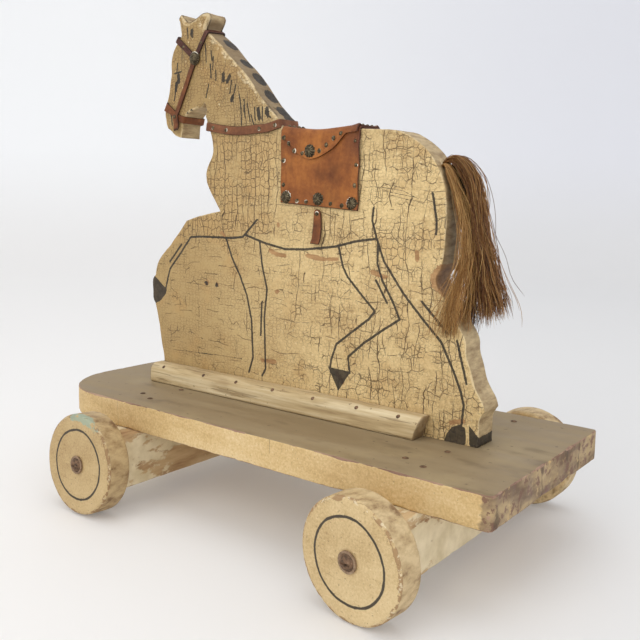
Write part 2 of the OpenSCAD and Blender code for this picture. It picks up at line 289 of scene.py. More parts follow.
def eased(n, edge):
    """n + 1 shares from 0 to 1, with two close steps of about edge at each end."""
    return [0, 0.35 * edge, edge] + list(np.linspace(edge, 1 - edge, n - 3)[1:-1]) + [
        1 - edge, 1 - 0.35 * edge, 1]


def band(path, width, thick, lift=None, closed=False):
    """A leather strap along a path of (point, outward normal), in millimetres.

    width is a number or a function of the share along, and lift(t, u) raises it."""
    n = len(path)
    pts = np.array([q for q, _ in path], float)
    nor = np.array([q for _, q in path], float)
    grid, normals = [], []
    for i in range(n):
        a = pts[(i - 1) % n] if closed or i > 0 else pts[i]
        b = pts[(i + 1) % n] if closed or i < n - 1 else pts[i]
        tan = (b - a) / max(np.linalg.norm(b - a), 1e-9)
        nn = nor[i] / np.linalg.norm(nor[i])
        across = np.cross(nn, tan)
        across /= max(np.linalg.norm(across), 1e-9)
        t = i / (n - 1)
        w = width(t) if callable(width) else width
        row, nrow = [], []
        for u in eased(8, 0.09):
            up = lift(t, 2 * u - 1) if lift else 0
            ragged = 0.12 * wobble(pts[i][0], pts[i][2], u * 9 + pts[i][1], 0.8)
            row.append(pts[i] + across * (w * (u - 0.5) + ragged) + nn * up)
            nrow.append(nn)
        grid.append(row)
        normals.append(nrow)
    return sheet_grid(grid, normals, thick, closed)


def shifted(piece):
    """Board millimetres to the frame, for a (verts, faces, marks) piece."""
    v, f, m = piece
    return [put(*q) for q in v], f, m


def dome(centre, normal, r, h, flutes=0, depth=0.0, turn=0.0, rim=0.16, segments=28, bright=0.0,
         bead=False):
    """A tack's head: a thin rim and a dome, fluted for a flower head.

    The marks are red for a painted highlight on one side of the rim, green in the grooves, blue at
    the rim."""
    n = np.array(normal, float)
    n /= np.linalg.norm(n)
    side = np.cross(n, (0, 0, 1)) if abs(n[2]) < 0.9 else np.cross(n, (0, 1, 0))
    side /= np.linalg.norm(side)
    up = np.cross(side, n)
    top = 1 - rim - 0.03
    levels = [(1.0, -0.25, 1), (1.0, 0.05, 1), (0.98, 0.12, 1), (1 - rim, 0.14, 0.6), (top, 0.3, 0)]
    for k in range(1, 6):
        a = k / 5 * pi / 2
        levels.append((top * cos(a), 0.3 + 0.7 * sin(a), 0))
    if bead:
        levels[-1] = (0.14, 1.02, 0)
        levels += [(0.13, 1.2, 0), (0.07, 1.3, 0)]
    verts, marks = [], []
    for share, height, edge in levels:
        for i in range(segments):
            a = 2 * pi * i / segments + turn
            wave = 0.5 + 0.5 * cos(flutes * a) if flutes else 1
            fade = min(1, share * 1.6)
            rr = r * share * (1 - depth * 0.5 * (1 - wave) * fade)
            hh = h * height * (1 - depth * (1 - wave) * fade * (share < 0.99))
            p = np.array(centre) + (side * cos(a) + up * sin(a)) * rr + n * hh
            verts.append(p)
            # painted highlight: strongest on one fixed side of the rim
            lit = max(0.0, cos(a - turn - 0.9)) if bright else 0
            marks.append((bright * lit * edge, (1 - wave) * fade if flutes else 0, edge))
    faces = rings(len(levels), segments)
    last = (len(levels) - 1) * segments
    faces.append(tuple(last + i for i in range(segments)))
    faces.append(tuple(reversed(range(segments))))
    return verts, faces, marks


# ---- Materials ------------------------------------------------------------------------------

def rgb(r, g, b):
    """Linear colour from 0 to 255 screen values."""
    return tuple((v / 255 / 12.92 if v / 255 <= 0.04045 else ((v / 255 + 0.055) / 1.055) ** 2.4)
                 for v in (r, g, b)) + (1.0,)


class Value:
    """A number, vector or colour in a material. Arithmetic on numbers adds the nodes for it."""

    def __init__(self, graph, socket):
        self.graph = graph
        self.socket = socket

    def __add__(self, other):
        return self.graph.math("ADD", self, other)

    def __sub__(self, other):
        return self.graph.math("SUBTRACT", self, other)

    def __rsub__(self, other):
        return self.graph.math("SUBTRACT", other, self)

    def __mul__(self, other):
        return self.graph.math("MULTIPLY", self, other)

    def __abs__(self):
        return self.graph.math("ABSOLUTE", self)


class Graph:
    """A material's nodes, made by short calls."""

    def __init__(self, name, rough=0.6, **sockets):
        self.mat = bpy.data.materials.new(name)
        self.mat.use_nodes = True
        self.tree = self.mat.node_tree
        self.bsdf = self.tree.nodes["Principled BSDF"]
        self.bsdf.inputs["Roughness"].default_value = rough
        for key, value in sockets.items():
            self.bsdf.inputs[key.replace("_", " ")].default_value = value
        self.co = self.add("ShaderNodeTexCoord", "Object", {})

    def add(self, kind, out, inputs, **props):
        node = self.tree.nodes.new(kind)
        for key, value in props.items():
            setattr(node, key, value)
        for key, value in inputs.items():
            if isinstance(value, Value):
                self.link(value, node.inputs[key])
            elif value is not None:
                node.inputs[key].default_value = value
        return Value(self, node.outputs[out])

    def link(self, value, socket):
        self.tree.links.new(value.socket, socket)

    def split(self, kind, value):
        """The three parts of a vector or colour."""
        node = self.tree.nodes.new(kind)
        self.link(value, node.inputs[0])
        return [Value(self, socket) for socket in node.outputs]

    def math(self, op, a, b=None):
        return self.add("ShaderNodeMath", 0, {0: a, 1: b}, operation=op)

    def vec(self, op, a, b):
        return self.add("ShaderNodeVectorMath", 0, {0: a, 1: b}, operation=op)

    def scaled(self, x, y, z, co=None):
        return self.vec("MULTIPLY", co or self.co, (x, y, z))

    def xyz(self, co=None):
        return self.split("ShaderNodeSeparateXYZ", co or self.co)

    def marks(self):
        return self.split("ShaderNodeSeparateColor", self.add(
            "ShaderNodeAttribute", "Color", {}, attribute_name="marks"))

    def noise(self, scale, detail=3.0, rough=0.55, co=None, out=0, twist=0.0):
        return self.add("ShaderNodeTexNoise", out, {
            "Vector": co or self.co, "Scale": scale, "Detail": detail, "Roughness": rough,
            "Distortion": twist})

    def warp(self, scale, amount):
        """The object's coordinates, moved about by noise."""
        shift = self.vec("SUBTRACT", self.noise(scale, 2, out=1), (0.5, 0.5, 0.5))
        shift = self.add("ShaderNodeVectorMath", 0, {0: shift, "Scale": amount}, operation="SCALE")
        return self.vec("ADD", self.co, shift)

    def edges(self, scale, co=None, spread=1.0):
        """Distance to the lines between flat cells."""
        return self.add("ShaderNodeTexVoronoi", "Distance", {
            "Vector": co or self.co, "Scale": scale, "Randomness": spread},
            feature="DISTANCE_TO_EDGE", voronoi_dimensions="2D")

    def lines(self, scale, at):
        """Distance to uneven lines across the value at, with flat bands between."""
        return self.add("ShaderNodeTexVoronoi", "Distance", {
            "W": at, "Scale": scale, "Randomness": 1.0},
            feature="DISTANCE_TO_EDGE", voronoi_dimensions="1D")

    def flat(self, a, b, c=0.0):
        return self.add("ShaderNodeCombineXYZ", 0, {0: a, 1: b, 2: c})

    def plus(self, a, wave, amount):
        """a shifted by a wave of 0 to 1, from -amount / 2 to amount / 2."""
        return a + (wave - 0.5) * amount

    def step(self, value, low, high, a=0.0, b=1.0):
        return self.add("ShaderNodeMapRange", 0, {
            0: value, 1: low, 2: high, 3: a, 4: b}, interpolation_type="SMOOTHSTEP")

    def mix(self, share, a, b):
        return self.add("ShaderNodeMix", 2, {0: share, 6: a, 7: b}, data_type="RGBA")

    def tint(self, share, a, b):
        return self.add("ShaderNodeMix", 2, {0: share, 6: a, 7: b}, data_type="RGBA",
                        blend_type="MULTIPLY")

    def ramp(self, value, stops):
        node = self.tree.nodes.new("ShaderNodeValToRGB")
        self.link(value, node.inputs[0])
        ramp = node.color_ramp
        while len(ramp.elements) < len(stops):
            ramp.elements.new(0.5)
        for element, (at, colour) in zip(ramp.elements, stops):
            element.position = at
            element.color = colour
        return Value(self, node.outputs[0])

    def cracks(self, distance, width, zone, low, high):
        """1 along the lines between cells, where zone is over low to high."""
        line = self.step(distance, width * 0.45, width, 1.0, 0.0)
        return line * self.step(zone, low, high)

    def finish(self, colour, height=None, strength=0.5, distance=0.001, rough=None):
        self.link(colour, self.bsdf.inputs["Base Color"])
        if rough is not None:
            self.link(rough, self.bsdf.inputs["Roughness"])
        if height is not None:
            bump = self.add("ShaderNodeBump", 0, {
                "Height": height, "Strength": strength, "Distance": distance})
            self.link(bump, self.bsdf.inputs["Normal"])
        return self.mat


CRACK = rgb(70, 48, 22)
LINE = rgb(44, 37, 29)
DIRT = rgb(112, 84, 50)


def paint_grain(g, light, mid, dark, streak=(1, 1, 4)):
    """Uneven old paint with faint streaks and specks of dirt."""
    broad = g.noise(16, 4, 0.6)
    fine = g.noise(560, 3, 0.7)
    lines = g.noise(70, 3, 0.6, g.scaled(*streak))
    tone = broad * 0.36 + fine * 0.44
    tone = tone + lines * 0.2
    colour = g.ramp(tone, [(0.38, dark), (0.5, mid), (0.62, light)])
    crumb = g.step(g.noise(460, 2, 0.5), 0.64, 0.72)
    colour = g.mix(crumb * 0.5, colour, rgb(232, 214, 170))
    speck = g.step(g.noise(520, 2, 0.5, g.vec("ADD", g.co, (3, 1, 2))), 0.67, 0.72)
    return g.mix(speck * 0.45, colour, DIRT), tone


def horse_paint():
    g = Graph("aged_cream_paint", 0.62)
    dark_line, bare, rim = g.marks()
    x, y, z = g.xyz()
    colour, tone = paint_grain(g, rgb(231, 205, 150), rgb(215, 187, 133), rgb(186, 154, 102),
                               (0.7, 1, 3.2))
    # the head and neck are painted darker than the body, partly duller paint and partly painted
    # shade, and the front of the body a little darker as painted shade
    head = g.step(z, 0.295, 0.36)
    front = g.step(x, -0.06, 0.13)
    colour = g.mix(head * 0.7, colour, rgb(146, 119, 74))
    colour = g.mix(front * 0.76, colour, rgb(164, 134, 82))
    # the two faces crack differently
    face = g.math("GREATER_THAN", y, 0.0) * 3.7
    q = g.flat(x + face, z)
    body = 1.0 - head * 0.58
    low = g.step(z, 0.235, 0.21)
    quiet = g.step(x, -0.06, 0.03) * low
    rear = g.step(x, -0.01, -0.07)
    chest = g.step(x, 0.0, 0.025) * g.step(z, 0.228, 0.245) * (body * 0.13)
    patch = g.noise(28, 2, co=q) + chest
    patch2 = g.noise(60, 3, co=q)
    # long upright cracks that wander and break off
    swing = g.noise(34, 2, co=g.scaled(1, 0.5, 1, q))
    shake = g.noise(170, 3, 0.6, q)
    upright = g.plus(g.plus(x + face, swing, 0.024), shake, 0.0024)
    reach = g.noise(75, 2, 0.5, g.scaled(1, 0.3, 1, q))
    tall = g.cracks(g.lines(128, upright), 0.06, reach + g.math("MAXIMUM", chest, rear * 0.05)
                    - quiet * 0.09, 0.54, 0.6)
    # short level cracks between them
    swing2 = g.noise(40, 2, co=g.scaled(0.5, 1, 1, q))
    level_at = g.plus(g.plus(z, swing2, 0.020), g.noise(190, 3, 0.6, q), 0.0022)
    reach2 = g.noise(95, 3, 0.6, g.scaled(0.55, 1.2, 1, q))
    level = g.cracks(g.lines(170, level_at), 0.055, reach2, 0.53, 0.59)
    # small angular cells
    sway = (g.noise(150, 2, co=q) - 0.5) * 0.004
    sway2 = (g.noise(150, 2, co=g.vec("ADD", q, (5, 2, 0))) - 0.5) * 0.004
    bent = g.vec("ADD", q, g.flat(sway, sway2))
    zone = g.plus(patch, patch2, 0.6) - quiet * 0.12
    cells = g.cracks(g.edges(190, g.scaled(1, 0.7, 1, bent), 0.62), 0.06, zone, 0.5, 0.6)
    big = g.cracks(g.edges(104, g.scaled(1, 0.75, 1, bent), 0.6), 0.034, patch2 + rear * 0.08, 0.52,
                   0.6)
    hair = g.cracks(g.edges(340, g.scaled(0.7, 1.1, 1, bent), 0.7), 0.085, patch2, 0.36, 0.5)
    deep = g.math("MAXIMUM", tall * 0.95, big * 0.8)
    deep = g.math("MAXIMUM", deep, level * 0.8)
    cracked = g.math("MAXIMUM", deep, cells * 0.75)
    flat = 1.0 - rim
    cracked = cracked * (body * flat)
    faint = hair * (flat * g.step(head, 0, 1, 0.42, 0.85))
    # brushed flecks of the mane under the crest, and knocks that show the pale ground
    below = x * 0.687 - z * 0.727 + 0.2344
    mane = g.step(below, 0.004, 0.012) * g.step(below, 0.048, 0.03) * (head * flat)
    fleck = g.step(g.noise(210, 3, 0.65, g.scaled(1, 0.24, 1, q)), 0.57, 0.64) * (mane * 0.55)
    colour = g.mix(fleck, colour, rgb(88, 78, 58))
    knock = g.step(g.noise(300, 3, 0.6, q), 0.66, 0.7)
    colour = g.mix(knock * (head * flat), colour, rgb(222, 204, 160))
    rubbed = g.step(abs(below), 0.004, 0.001) * g.step(g.noise(160, 4, 0.6, q), 0.46, 0.6)
    colour = g.mix(rubbed * (head * flat), colour, rgb(218, 200, 160))
    # stains beside the cracks
    stain = g.step(patch, 0.52, 0.68) * 0.3
    colour = g.mix(stain, colour, rgb(188, 146, 86))
    colour = g.mix(faint, colour, rgb(120, 88, 48))
    # the sawn edge is worn to brown, with scratches across
    across = g.noise(230, 4, 0.65, g.scaled(1, 0.3, 1))
    edge = g.step(g.plus(rim, g.noise(90, 4), 0.7), 0.5, 0.72)
    edge_colour = g.ramp(across, [(0.3, rgb(138, 110, 72)), (0.5, rgb(176, 152, 112)),
                                  (0.68, rgb(202, 178, 134))])
    crest = g.step(abs(below), 0.012, 0.006) * head
    edge_colour = g.mix(crest * 0.7, edge_colour, rgb(112, 90, 60))
    colour = g.mix(edge, colour, edge_colour)
    # the paint is rubbed pale along the rounded edges
    worn_edge = g.step(rim, 0.05, 0.25) * g.step(rim, 0.95, 0.7)
    worn_edge = worn_edge * g.step(g.noise(120, 4, 0.6), 0.42, 0.58)
    colour = g.mix(worn_edge * 0.7, colour, rgb(222, 200, 156))
    colour = g.mix(cracked * 0.96, colour, CRACK)
    rub = g.noise(150, 3, 0.6, g.scaled(1, 1, 0.5))
    bared = g.step(g.plus(bare, rub, 0.9), 0.42, 0.6)
    bare_colour = g.ramp(g.noise(130, 4, 0.6, g.scaled(0.4, 1, 2)), [
        (0.35, rgb(142, 98, 56)), (0.65, rgb(188, 143, 94))])
    colour = g.mix(bared * 0.85, colour, bare_colour)
    worn = (g.noise(420, 4, 0.65) - 0.5) * 0.75
    broken = g.step(dark_line + worn - cracked * 0.1, 0.42, 0.56)
    black = g.ramp(g.noise(200, 3), [(0.42, rgb(22, 18, 14)), (0.66, rgb(56, 46, 34))])
    colour = g.mix(broken * 0.93, colour, black)
    height = tone * 0.35 - cracked - faint * 0.8 - edge * across * 0.8 - bared * 0.5
    return g.finish(colour, height, 0.55, 0.0005, g.step(tone, 0.35, 0.65, 0.52, 0.74))


def board_paint():
    """Cream paint on the sides, worn off the top down to dull grey brown wood."""
    g = Graph("worn_board_paint", 0.66)
    worn_top, stained, rim = g.marks()
    cream, tone = paint_grain(g, rgb(226, 199, 150), rgb(212, 181, 126), rgb(190, 156, 102),
                              (0.25, 1, 1.6))
    grain = g.noise(46, 5, 0.62, g.scaled(0.14, 1.2, 1), twist=0.4)
    dull = g.ramp(grain, [(0.3, rgb(124, 105, 76)), (0.48, rgb(144, 125, 94)),
                          (0.66, rgb(159, 141, 108))])
    dull = g.mix(0.45, dull, rgb(146, 126, 94))
    blotch = g.noise(13, 4, 0.6)
    dull = g.mix(g.step(blotch, 0.5, 0.7, 0.0, 0.55), dull, rgb(166, 146, 108))
    dull = g.mix(g.step(g.noise(30, 3, 0.6, g.scaled(0.5, 1, 1)), 0.56, 0.72, 0.0, 0.5), dull,
                 rgb(104, 86, 60))
    spots = g.step(g.noise(180, 2, 0.5), 0.68, 0.73)
    dull = g.mix(spots * 0.55, dull, rgb(86, 66, 44))
    chip = g.noise(95, 4, 0.62, g.scaled(0.5, 1, 1))
    lost = g.step(g.plus(rim, chip, 1.5), 0.62, 0.72)
    wood = g.ramp(g.noise(120, 3, 0.6, g.scaled(0.3, 1, 1)), [
        (0.35, rgb(126, 92, 74)), (0.65, rgb(176, 142, 116))])
    old = g.step(g.plus(stained, chip, 1.1), 0.45, 0.62)
    patchy = g.ramp(g.noise(60, 4, 0.6, g.scaled(1, 0.4, 1)), [
        (0.38, rgb(116, 92, 68)), (0.5, rgb(148, 124, 92)), (0.62, rgb(180, 154, 112))])
    cream = g.mix(old, cream, patchy)
    flake = g.step(g.plus(stained, g.noise(150, 4, 0.66), 2.0), 0.78, 0.86)
    cream = g.mix(flake * 0.8, cream, rgb(118, 82, 66))
    warp = g.warp(80, 0.004)
    w = g.xyz(warp)
    line = g.cracks(g.lines(60, w[0]), 0.02, g.noise(70, 2, co=g.scaled(1, 1, 0.4)), 0.58, 0.66)
    cream = g.mix(line * 0.6, cream, CRACK)
    colour = g.mix(g.step(worn_top, 0.35, 0.65), cream, dull)
    colour = g.mix(lost, colour, wood)
    height = grain * 0.35 + tone * 0.3 - lost * 0.7
    height = height - line * 0.5
    return g.finish(colour, height, 0.5, 0.0006, g.step(grain, 0.3, 0.7, 0.55, 0.78))


def wheel_paint(name, dull):
    """Cream face with a dark painted ring, chips at the rim and a browner tread, all tinted darker
    by dull as painted shade.
    """
    g = Graph(name, 0.62)
    tread, odd, rim = g.marks()
    cream, tone = paint_grain(g, rgb(222, 197, 150), rgb(208, 181, 132), rgb(186, 156, 106),
                              (1, 1, 1.4))
    bend = g.warp(36, 0.0022)
    p = g.xyz(bend)
    radius = g.math("SQRT", p[0] * p[0] + p[2] * p[2])
    off = abs(radius - 0.0293)
    ragged = (g.noise(330, 3) - 0.5) * 0.0009
    ring = g.step(off + ragged, 0.0007, 0.0012, 1.0, 0.0)
    ring = ring * g.step(tread, 0.3, 0.1)
    hub = g.step(radius, 0.0095, 0.005)
    rust = g.mix(hub * 0.75, cream, rgb(150, 104, 60))
    brown = g.ramp(g.noise(140, 4, 0.64, g.scaled(1, 0.6, 1)), [
        (0.32, rgb(134, 102, 66)), (0.46, rgb(184, 157, 114)), (0.64, rgb(212, 187, 142))])
    chip = g.noise(170, 4, 0.66)
    share = g.step(g.plus(tread, chip, 1.6), 0.6, 0.85)
    colour = g.mix(share, rust, brown)
    lost = g.step(g.plus(rim, chip, 2.0), 0.92, 1.02)
    colour = g.mix(lost * 0.8, colour, rgb(154, 118, 78))
    ground = g.step(g.plus(g.math("MAXIMUM", rim, tread * 0.6), g.noise(210, 4, 0.64), 2.0), 1.1,
                    1.2)
    colour = g.mix(ground * 0.7, colour, rgb(228, 212, 176))
    blue = g.step(g.plus(odd, chip, 1.6), 0.5, 0.62)
    colour = g.mix(blue * 0.8, colour, rgb(168, 190, 172))
    warp = g.warp(90, 0.004)
    w = g.xyz(warp)
    line = g.cracks(g.lines(95, w[2]), 0.03, g.noise(85, 3, 0.6, g.scaled(0.5, 1, 1)), 0.57, 0.66)
    colour = g.mix(line * 0.4, colour, rgb(128, 96, 56))
    # painted shade: dull tints the whole wheel darker, strongly on the front wheels
    colour = g.tint(dull, colour, rgb(206, 196, 178))
    colour = g.mix(ring * 0.95, colour, LINE)
    height = tone * 0.5 - line * 0.6
    height = height - lost * 0.8
    return g.finish(colour, height, 0.5, 0.0005, g.step(tone, 0.35, 0.65, 0.5, 0.72))


def beam_paint():
    """Pale paint flaking off brown wood."""
    g = Graph("flaking_beam_paint", 0.7)
    rim = g.marks()[2]
    flake = g.noise(34, 6, 0.66, g.scaled(1, 0.45, 1))
    gone = g.step(flake + rim * 0.1, 0.49, 0.53)
    pale = g.ramp(g.noise(60, 4), [(0.35, rgb(214, 196, 156)), (0.65, rgb(240, 224, 188))])
    wood = g.ramp(g.noise(90, 4, 0.6, g.scaled(1, 0.15, 1)), [
        (0.35, rgb(156, 118, 78)), (0.5, rgb(196, 164, 120)), (0.68, rgb(216, 188, 144))])
    colour = g.mix(gone, pale, wood)
    height = flake * 0.3 - gone
    return g.finish(colour, height, 0.6, 0.0006)


def bare_wood():
    """Pale weathered softwood with a fibrous surface."""
    g = Graph("bare_wood", 0.72)
    cut, rim = g.marks()[1:3]
    grain = g.noise(85, 5, 0.65, g.scaled(0.09, 1.2, 1.2), twist=0.3)
    fibre = g.noise(420, 3, 0.6, g.scaled(0.06, 1, 1))
    tone = grain * 0.65 + fibre * 0.35
    colour = g.ramp(tone, [(0.3, rgb(160, 134, 94)), (0.46, rgb(196, 172, 128)),
                           (0.6, rgb(220, 201, 162)), (0.74, rgb(232, 216, 182))])
    dark = g.step(g.noise(30, 3, 0.6, g.scaled(0.4, 1, 1)), 0.56, 0.7, 0.0, 0.5)
    colour = g.mix(dark, colour, rgb(158, 130, 90))
    colour = g.mix(g.step(g.noise(230, 2), 0.7, 0.75, 0, 0.6), colour, rgb(104, 76, 44))
    colour = g.mix(rim * 0.35, colour, rgb(150, 122, 84))
    colour = g.mix(cut * 0.6, colour, rgb(108, 84, 54))
    split = g.step(g.noise(300, 3, 0.6, g.scaled(0.05, 1, 1)), 0.6, 0.66)
    colour = g.mix(split * 0.55, colour, rgb(128, 100, 62))
    height = tone - split * 0.4
    return g.finish(colour, height, 0.8, 0.0011)


def leather(name, light, mid, dark, edge, shine=0.45):
    """Old strap leather: mottled, creased, with dark cut edges."""
    g = Graph(name, shine, Specular_IOR_Level=0.3)
    darkened, _, rim = g.marks()
    blotch = g.noise(38, 5, 0.62)
    fine = g.noise(300, 4, 0.6)
    tone = blotch * 0.75 + fine * 0.25
    colour = g.ramp(tone, [(0.34, dark), (0.5, mid), (0.64, light)])
    stain = g.step(g.noise(21, 3, 0.6, g.scaled(1, 1, 1.3)), 0.54, 0.7, 0.0, 0.55)
    colour = g.mix(stain, colour, dark)
    scuff = g.step(g.noise(150, 3, 0.6, g.scaled(1, 1, 0.3)), 0.66, 0.76, 0.0, 0.4)
    colour = g.mix(scuff, colour, light)
    grime = g.step(g.noise(52, 4, 0.6, g.scaled(1, 1, 0.6)), 0.52, 0.74, 0.0, 0.28)
    colour = g.mix(grime, colour, edge)
    ragged = g.plus(rim, g.noise(220, 3), 0.5)
    colour = g.mix(g.step(ragged, 0.45, 0.95, 0.0, 0.85), colour, edge)
    # the marks' red darkens the leather; on the saddle it is darker towards the rear top corner and
    # along the lower edge
    colour = g.mix(darkened * 0.6, colour, rgb(82, 46, 36))
    pores = g.add("ShaderNodeTexVoronoi", "Distance", {"Vector": g.co, "Scale": 950.0})
    crease = g.edges(120, g.warp(120, 0.004))
    height = pores * 0.18 + blotch * 0.5
    height = height + g.step(crease, 0.0, 0.08, 0.0, 0.22)
    return g.finish(colour, height, 0.5, 0.0005, g.step(tone, 0.35, 0.66, shine + 0.16, shine))


def old_brass():
    """Tarnished brass heads, dark in the grooves, with a painted highlight on one side of the rim.
    """
    g = Graph("old_brass", 0.42)
    bright, groove, _ = g.marks()
    spot = g.noise(420, 4, 0.6)
    colour = g.ramp(spot, [(0.34, rgb(52, 44, 32)), (0.52, rgb(98, 86, 64)),
                           (0.7, rgb(150, 136, 104))])
    colour = g.mix(groove * 0.75, colour, rgb(34, 28, 20))
    # painted highlight: near-white and less metallic on the glinting side of the rim
    colour = g.mix(g.step(bright, 0.12, 0.5), colour, rgb(244, 236, 214))
    g.link(g.step(bright, 0.1, 0.4, 0.75, 0.1), g.bsdf.inputs["Metallic"])
    return g.finish(colour, spot, 0.4, 0.0003, g.step(spot, 0.35, 0.65, 0.58, 0.36))


def rusty_iron():
    g = Graph("rusty_iron", 0.7, Metallic=0.35)
    spot = g.noise(330, 5, 0.65)
    colour = g.ramp(spot, [(0.3, rgb(62, 48, 38)), (0.48, rgb(104, 80, 60)),
                           (0.62, rgb(138, 106, 80)), (0.74, rgb(160, 140, 118))])
    return g.finish(colour, spot, 0.7, 0.0004)


def rusty_washer():
    g = Graph("rusty_washer", 0.72, Metallic=0.2)
    spot = g.noise(260, 5, 0.65)
    colour = g.ramp(spot, [(0.3, rgb(104, 82, 62)), (0.5, rgb(146, 120, 94)),
                           (0.7, rgb(176, 152, 124))])
    return g.finish(colour, spot, 0.7, 0.0004)


def horsehair():
    g = Graph("horsehair", 0.5)
    pick = g.marks()[0]
    run = g.noise(60, 2, 0.5, g.scaled(1, 1, 0.2))
    tone = pick * 0.85 + run * 0.15
    colour = g.ramp(tone, [(0.08, rgb(46, 24, 12)), (0.32, rgb(108, 64, 26)),
                           (0.6, rgb(162, 114, 56)), (0.9, rgb(212, 170, 106))])
    return g.finish(colour)


PAINT = horse_paint()
BOARD = board_paint()
WHEEL = wheel_paint("wheel_paint", 0.05)
# the front wheels take a stronger darker tint, as painted shade
SHADED_FRONT_WHEEL = wheel_paint("front_wheel_paint", 0.5)
BEAM = beam_paint()
WOOD = bare_wood()
TAN = leather("tan_leather", rgb(174, 108, 47), rgb(145, 85, 37), rgb(113, 61, 28),
              rgb(52, 30, 16), 0.46)
BROWN = leather("brown_leather", rgb(148, 96, 60), rgb(118, 73, 45), rgb(86, 50, 33),
                rgb(54, 32, 22), 0.46)
DARK = leather("dark_leather", rgb(118, 72, 50), rgb(88, 51, 38), rgb(62, 36, 28),
               rgb(40, 24, 18), 0.44)
ORANGE = leather("worn_strap_leather", rgb(158, 98, 50), rgb(122, 70, 33), rgb(86, 47, 25),
                 rgb(54, 32, 22), 0.44)
BRASS = old_brass()
IRON = rusty_iron()
WASHER = rusty_washer()
HAIR = horsehair()


# ---- The horse ------------------------------------------------------------------------------

SEAT = [(13, 235), (-5, 232.5), (-26, 231), (-46, 232), (-67, 233.5)]
CREST = [(105, 325), (94, 317), (86, 311), (74, 299), (62, 289), (50, 277), (39, 264),
         (27, 252), (17, 243), (13, 235)]
OUTLINE = [
    [(163, 0), (163, 21), (166, 34), (169, 50), (172, 64), (175, 74)],
    [(175, 74), (178, 79), (178.5, 90), (178, 98), (174, 102)],
    [(174, 102), (173, 109), (167, 119), (153, 132), (139, 146), (130, 156)],
    [(130, 156), (112, 161), (86, 166)],
    [(86, 166), (95, 178), (103, 191), (104, 199), (101, 207), (96, 215), (95, 222), (97, 232),
     (101, 242), (105, 250)],
    [(105, 250), (103.5, 256), (106, 262)],
    [(106, 262), (111, 258), (121, 256), (128, 253), (133, 246), (135, 238), (136, 232)],
    [(136, 232), (144, 234), (150, 239), (154, 241), (158, 251), (158, 260)],
    [(158, 260), (153, 272), (150, 289), (149, 302), (145, 312), (137, 322), (138, 331),
     (138.8, 337)],
    [(138.8, 337), (138.6, 340.6), (136, 341), (131.6, 336), (127, 333.4), (121, 334.4),
     (115, 337), (110, 339.2), (105, 339.6), (101, 338.4), (99.4, 335.4), (101, 331.6),
     (103.4, 328.5), (105, 325)],
    CREST,
    SEAT,
    [(-67, 233.5), (-93, 232), (-104, 230), (-112, 226), (-120, 221), (-128, 214), (-134, 206),
     (-138, 199), (-142, 188), (-144, 172), (-144, 158), (-143, 140), (-141, 129)],
    [(-141, 129), (-137, 123), (-139, 115), (-142, 113)],
    [(-142, 113), (-150, 100), (-158, 88), (-164, 78), (-165, 68), (-169, 57), (-173, 45),
     (-180, 34), (-182, 28)],
    [(-182, 28), (-179.5, 24), (-178, 20)],
    [(-178, 20), (-178, 0)],
    [(-178, 0), (163, 0)],
]

# Painted strokes, (x, height above the floor), with their half widths.
BODY_LINES = [
    [(41, 249), (58, 233), (71, 231.5), (112, 231), (124, 230), (139, 213), (153, 198), (160, 177)],
    [(137, 222), (153, 205)],
    [(55, 235), (32, 229), (9, 225), (-13, 226), (-44, 230), (-63, 235), (-82, 238)],
    [(78, 230), (71, 214), (61, 198), (53, 182), (47, 160), (45, 126), (50, 112)],
    [(38, 230), (35, 210), (29, 189), (32, 164), (30, 118), (34, 111)],
    [(35, 176), (36, 148)],
    [(-47, 231), (-52, 214), (-57, 206), (-74, 190), (-84, 181), (-78, 174), (-61, 161),
     (-47, 150), (-42, 136), (-41, 129)],
    [(-80, 262), (-79, 252), (-85, 235), (-85, 219), (-90, 206), (-101, 189), (-107, 177),
     (-92, 167), (-75, 155), (-59, 141), (-61, 128)],
    [(-84, 206), (-95, 189)],
    [(-85, 235), (-91, 221), (-110, 197), (-129, 178), (-144, 164), (-155, 144), (-162, 129),
     (-165, 119), (-164, 105)],
    [(-126, 193), (-149, 171)],
    [(-157, 167), (-166, 137)],
    [(-132, 273), (-136, 254), (-136, 245)],
]
HEAD_LINES = [
    [(140, 388), (141, 379)], [(144, 379), (136, 380)], [(138, 377), (139, 370)],
    [(141, 371), (145, 355)], [(127, 419), (126, 409)], [(122, 415), (120, 409)],
    [(149, 340), (148, 334)], [(121, 347), (123, 345)], [(128, 343), (129, 342)],
    [(100, 366), (103, 357)], [(104, 401), (103, 386)], [(97, 395), (96, 387)],
    [(94, 390), (95, 379)], [(91, 378), (91, 370)], [(98, 384), (97, 374)],
    [(82, 375), (82, 368)], [(74, 372), (78, 366)], [(72, 368), (74, 357)],
    [(67, 364), (69, 357), (72, 351)], [(63, 356), (61, 347), (60, 330)],
    [(57, 350), (56, 337)], [(53, 346), (50, 333)], [(45, 344), (44, 333)],
    [(41, 343), (39, 334)], [(36, 344), (36, 333)], [(30, 343), (30, 335)],
    [(32, 338), (27, 335)], [(49, 338), (46, 330)],
]
BROAD_LINES = [
    [(139, 377), (138.4, 371)], [(141.4, 370), (142.6, 364)], [(74.5, 371.5), (77, 367.5)],
    [(70.6, 354), (71.8, 351)], [(41, 343), (39.4, 335)], [(82, 374), (82, 369)],
    [(31, 342), (30, 337)], [(120.6, 414.5), (121.6, 411)], [(104, 188.5), (103.2, 188)],
    [(90.5, 187.5), (89.8, 187)],
]
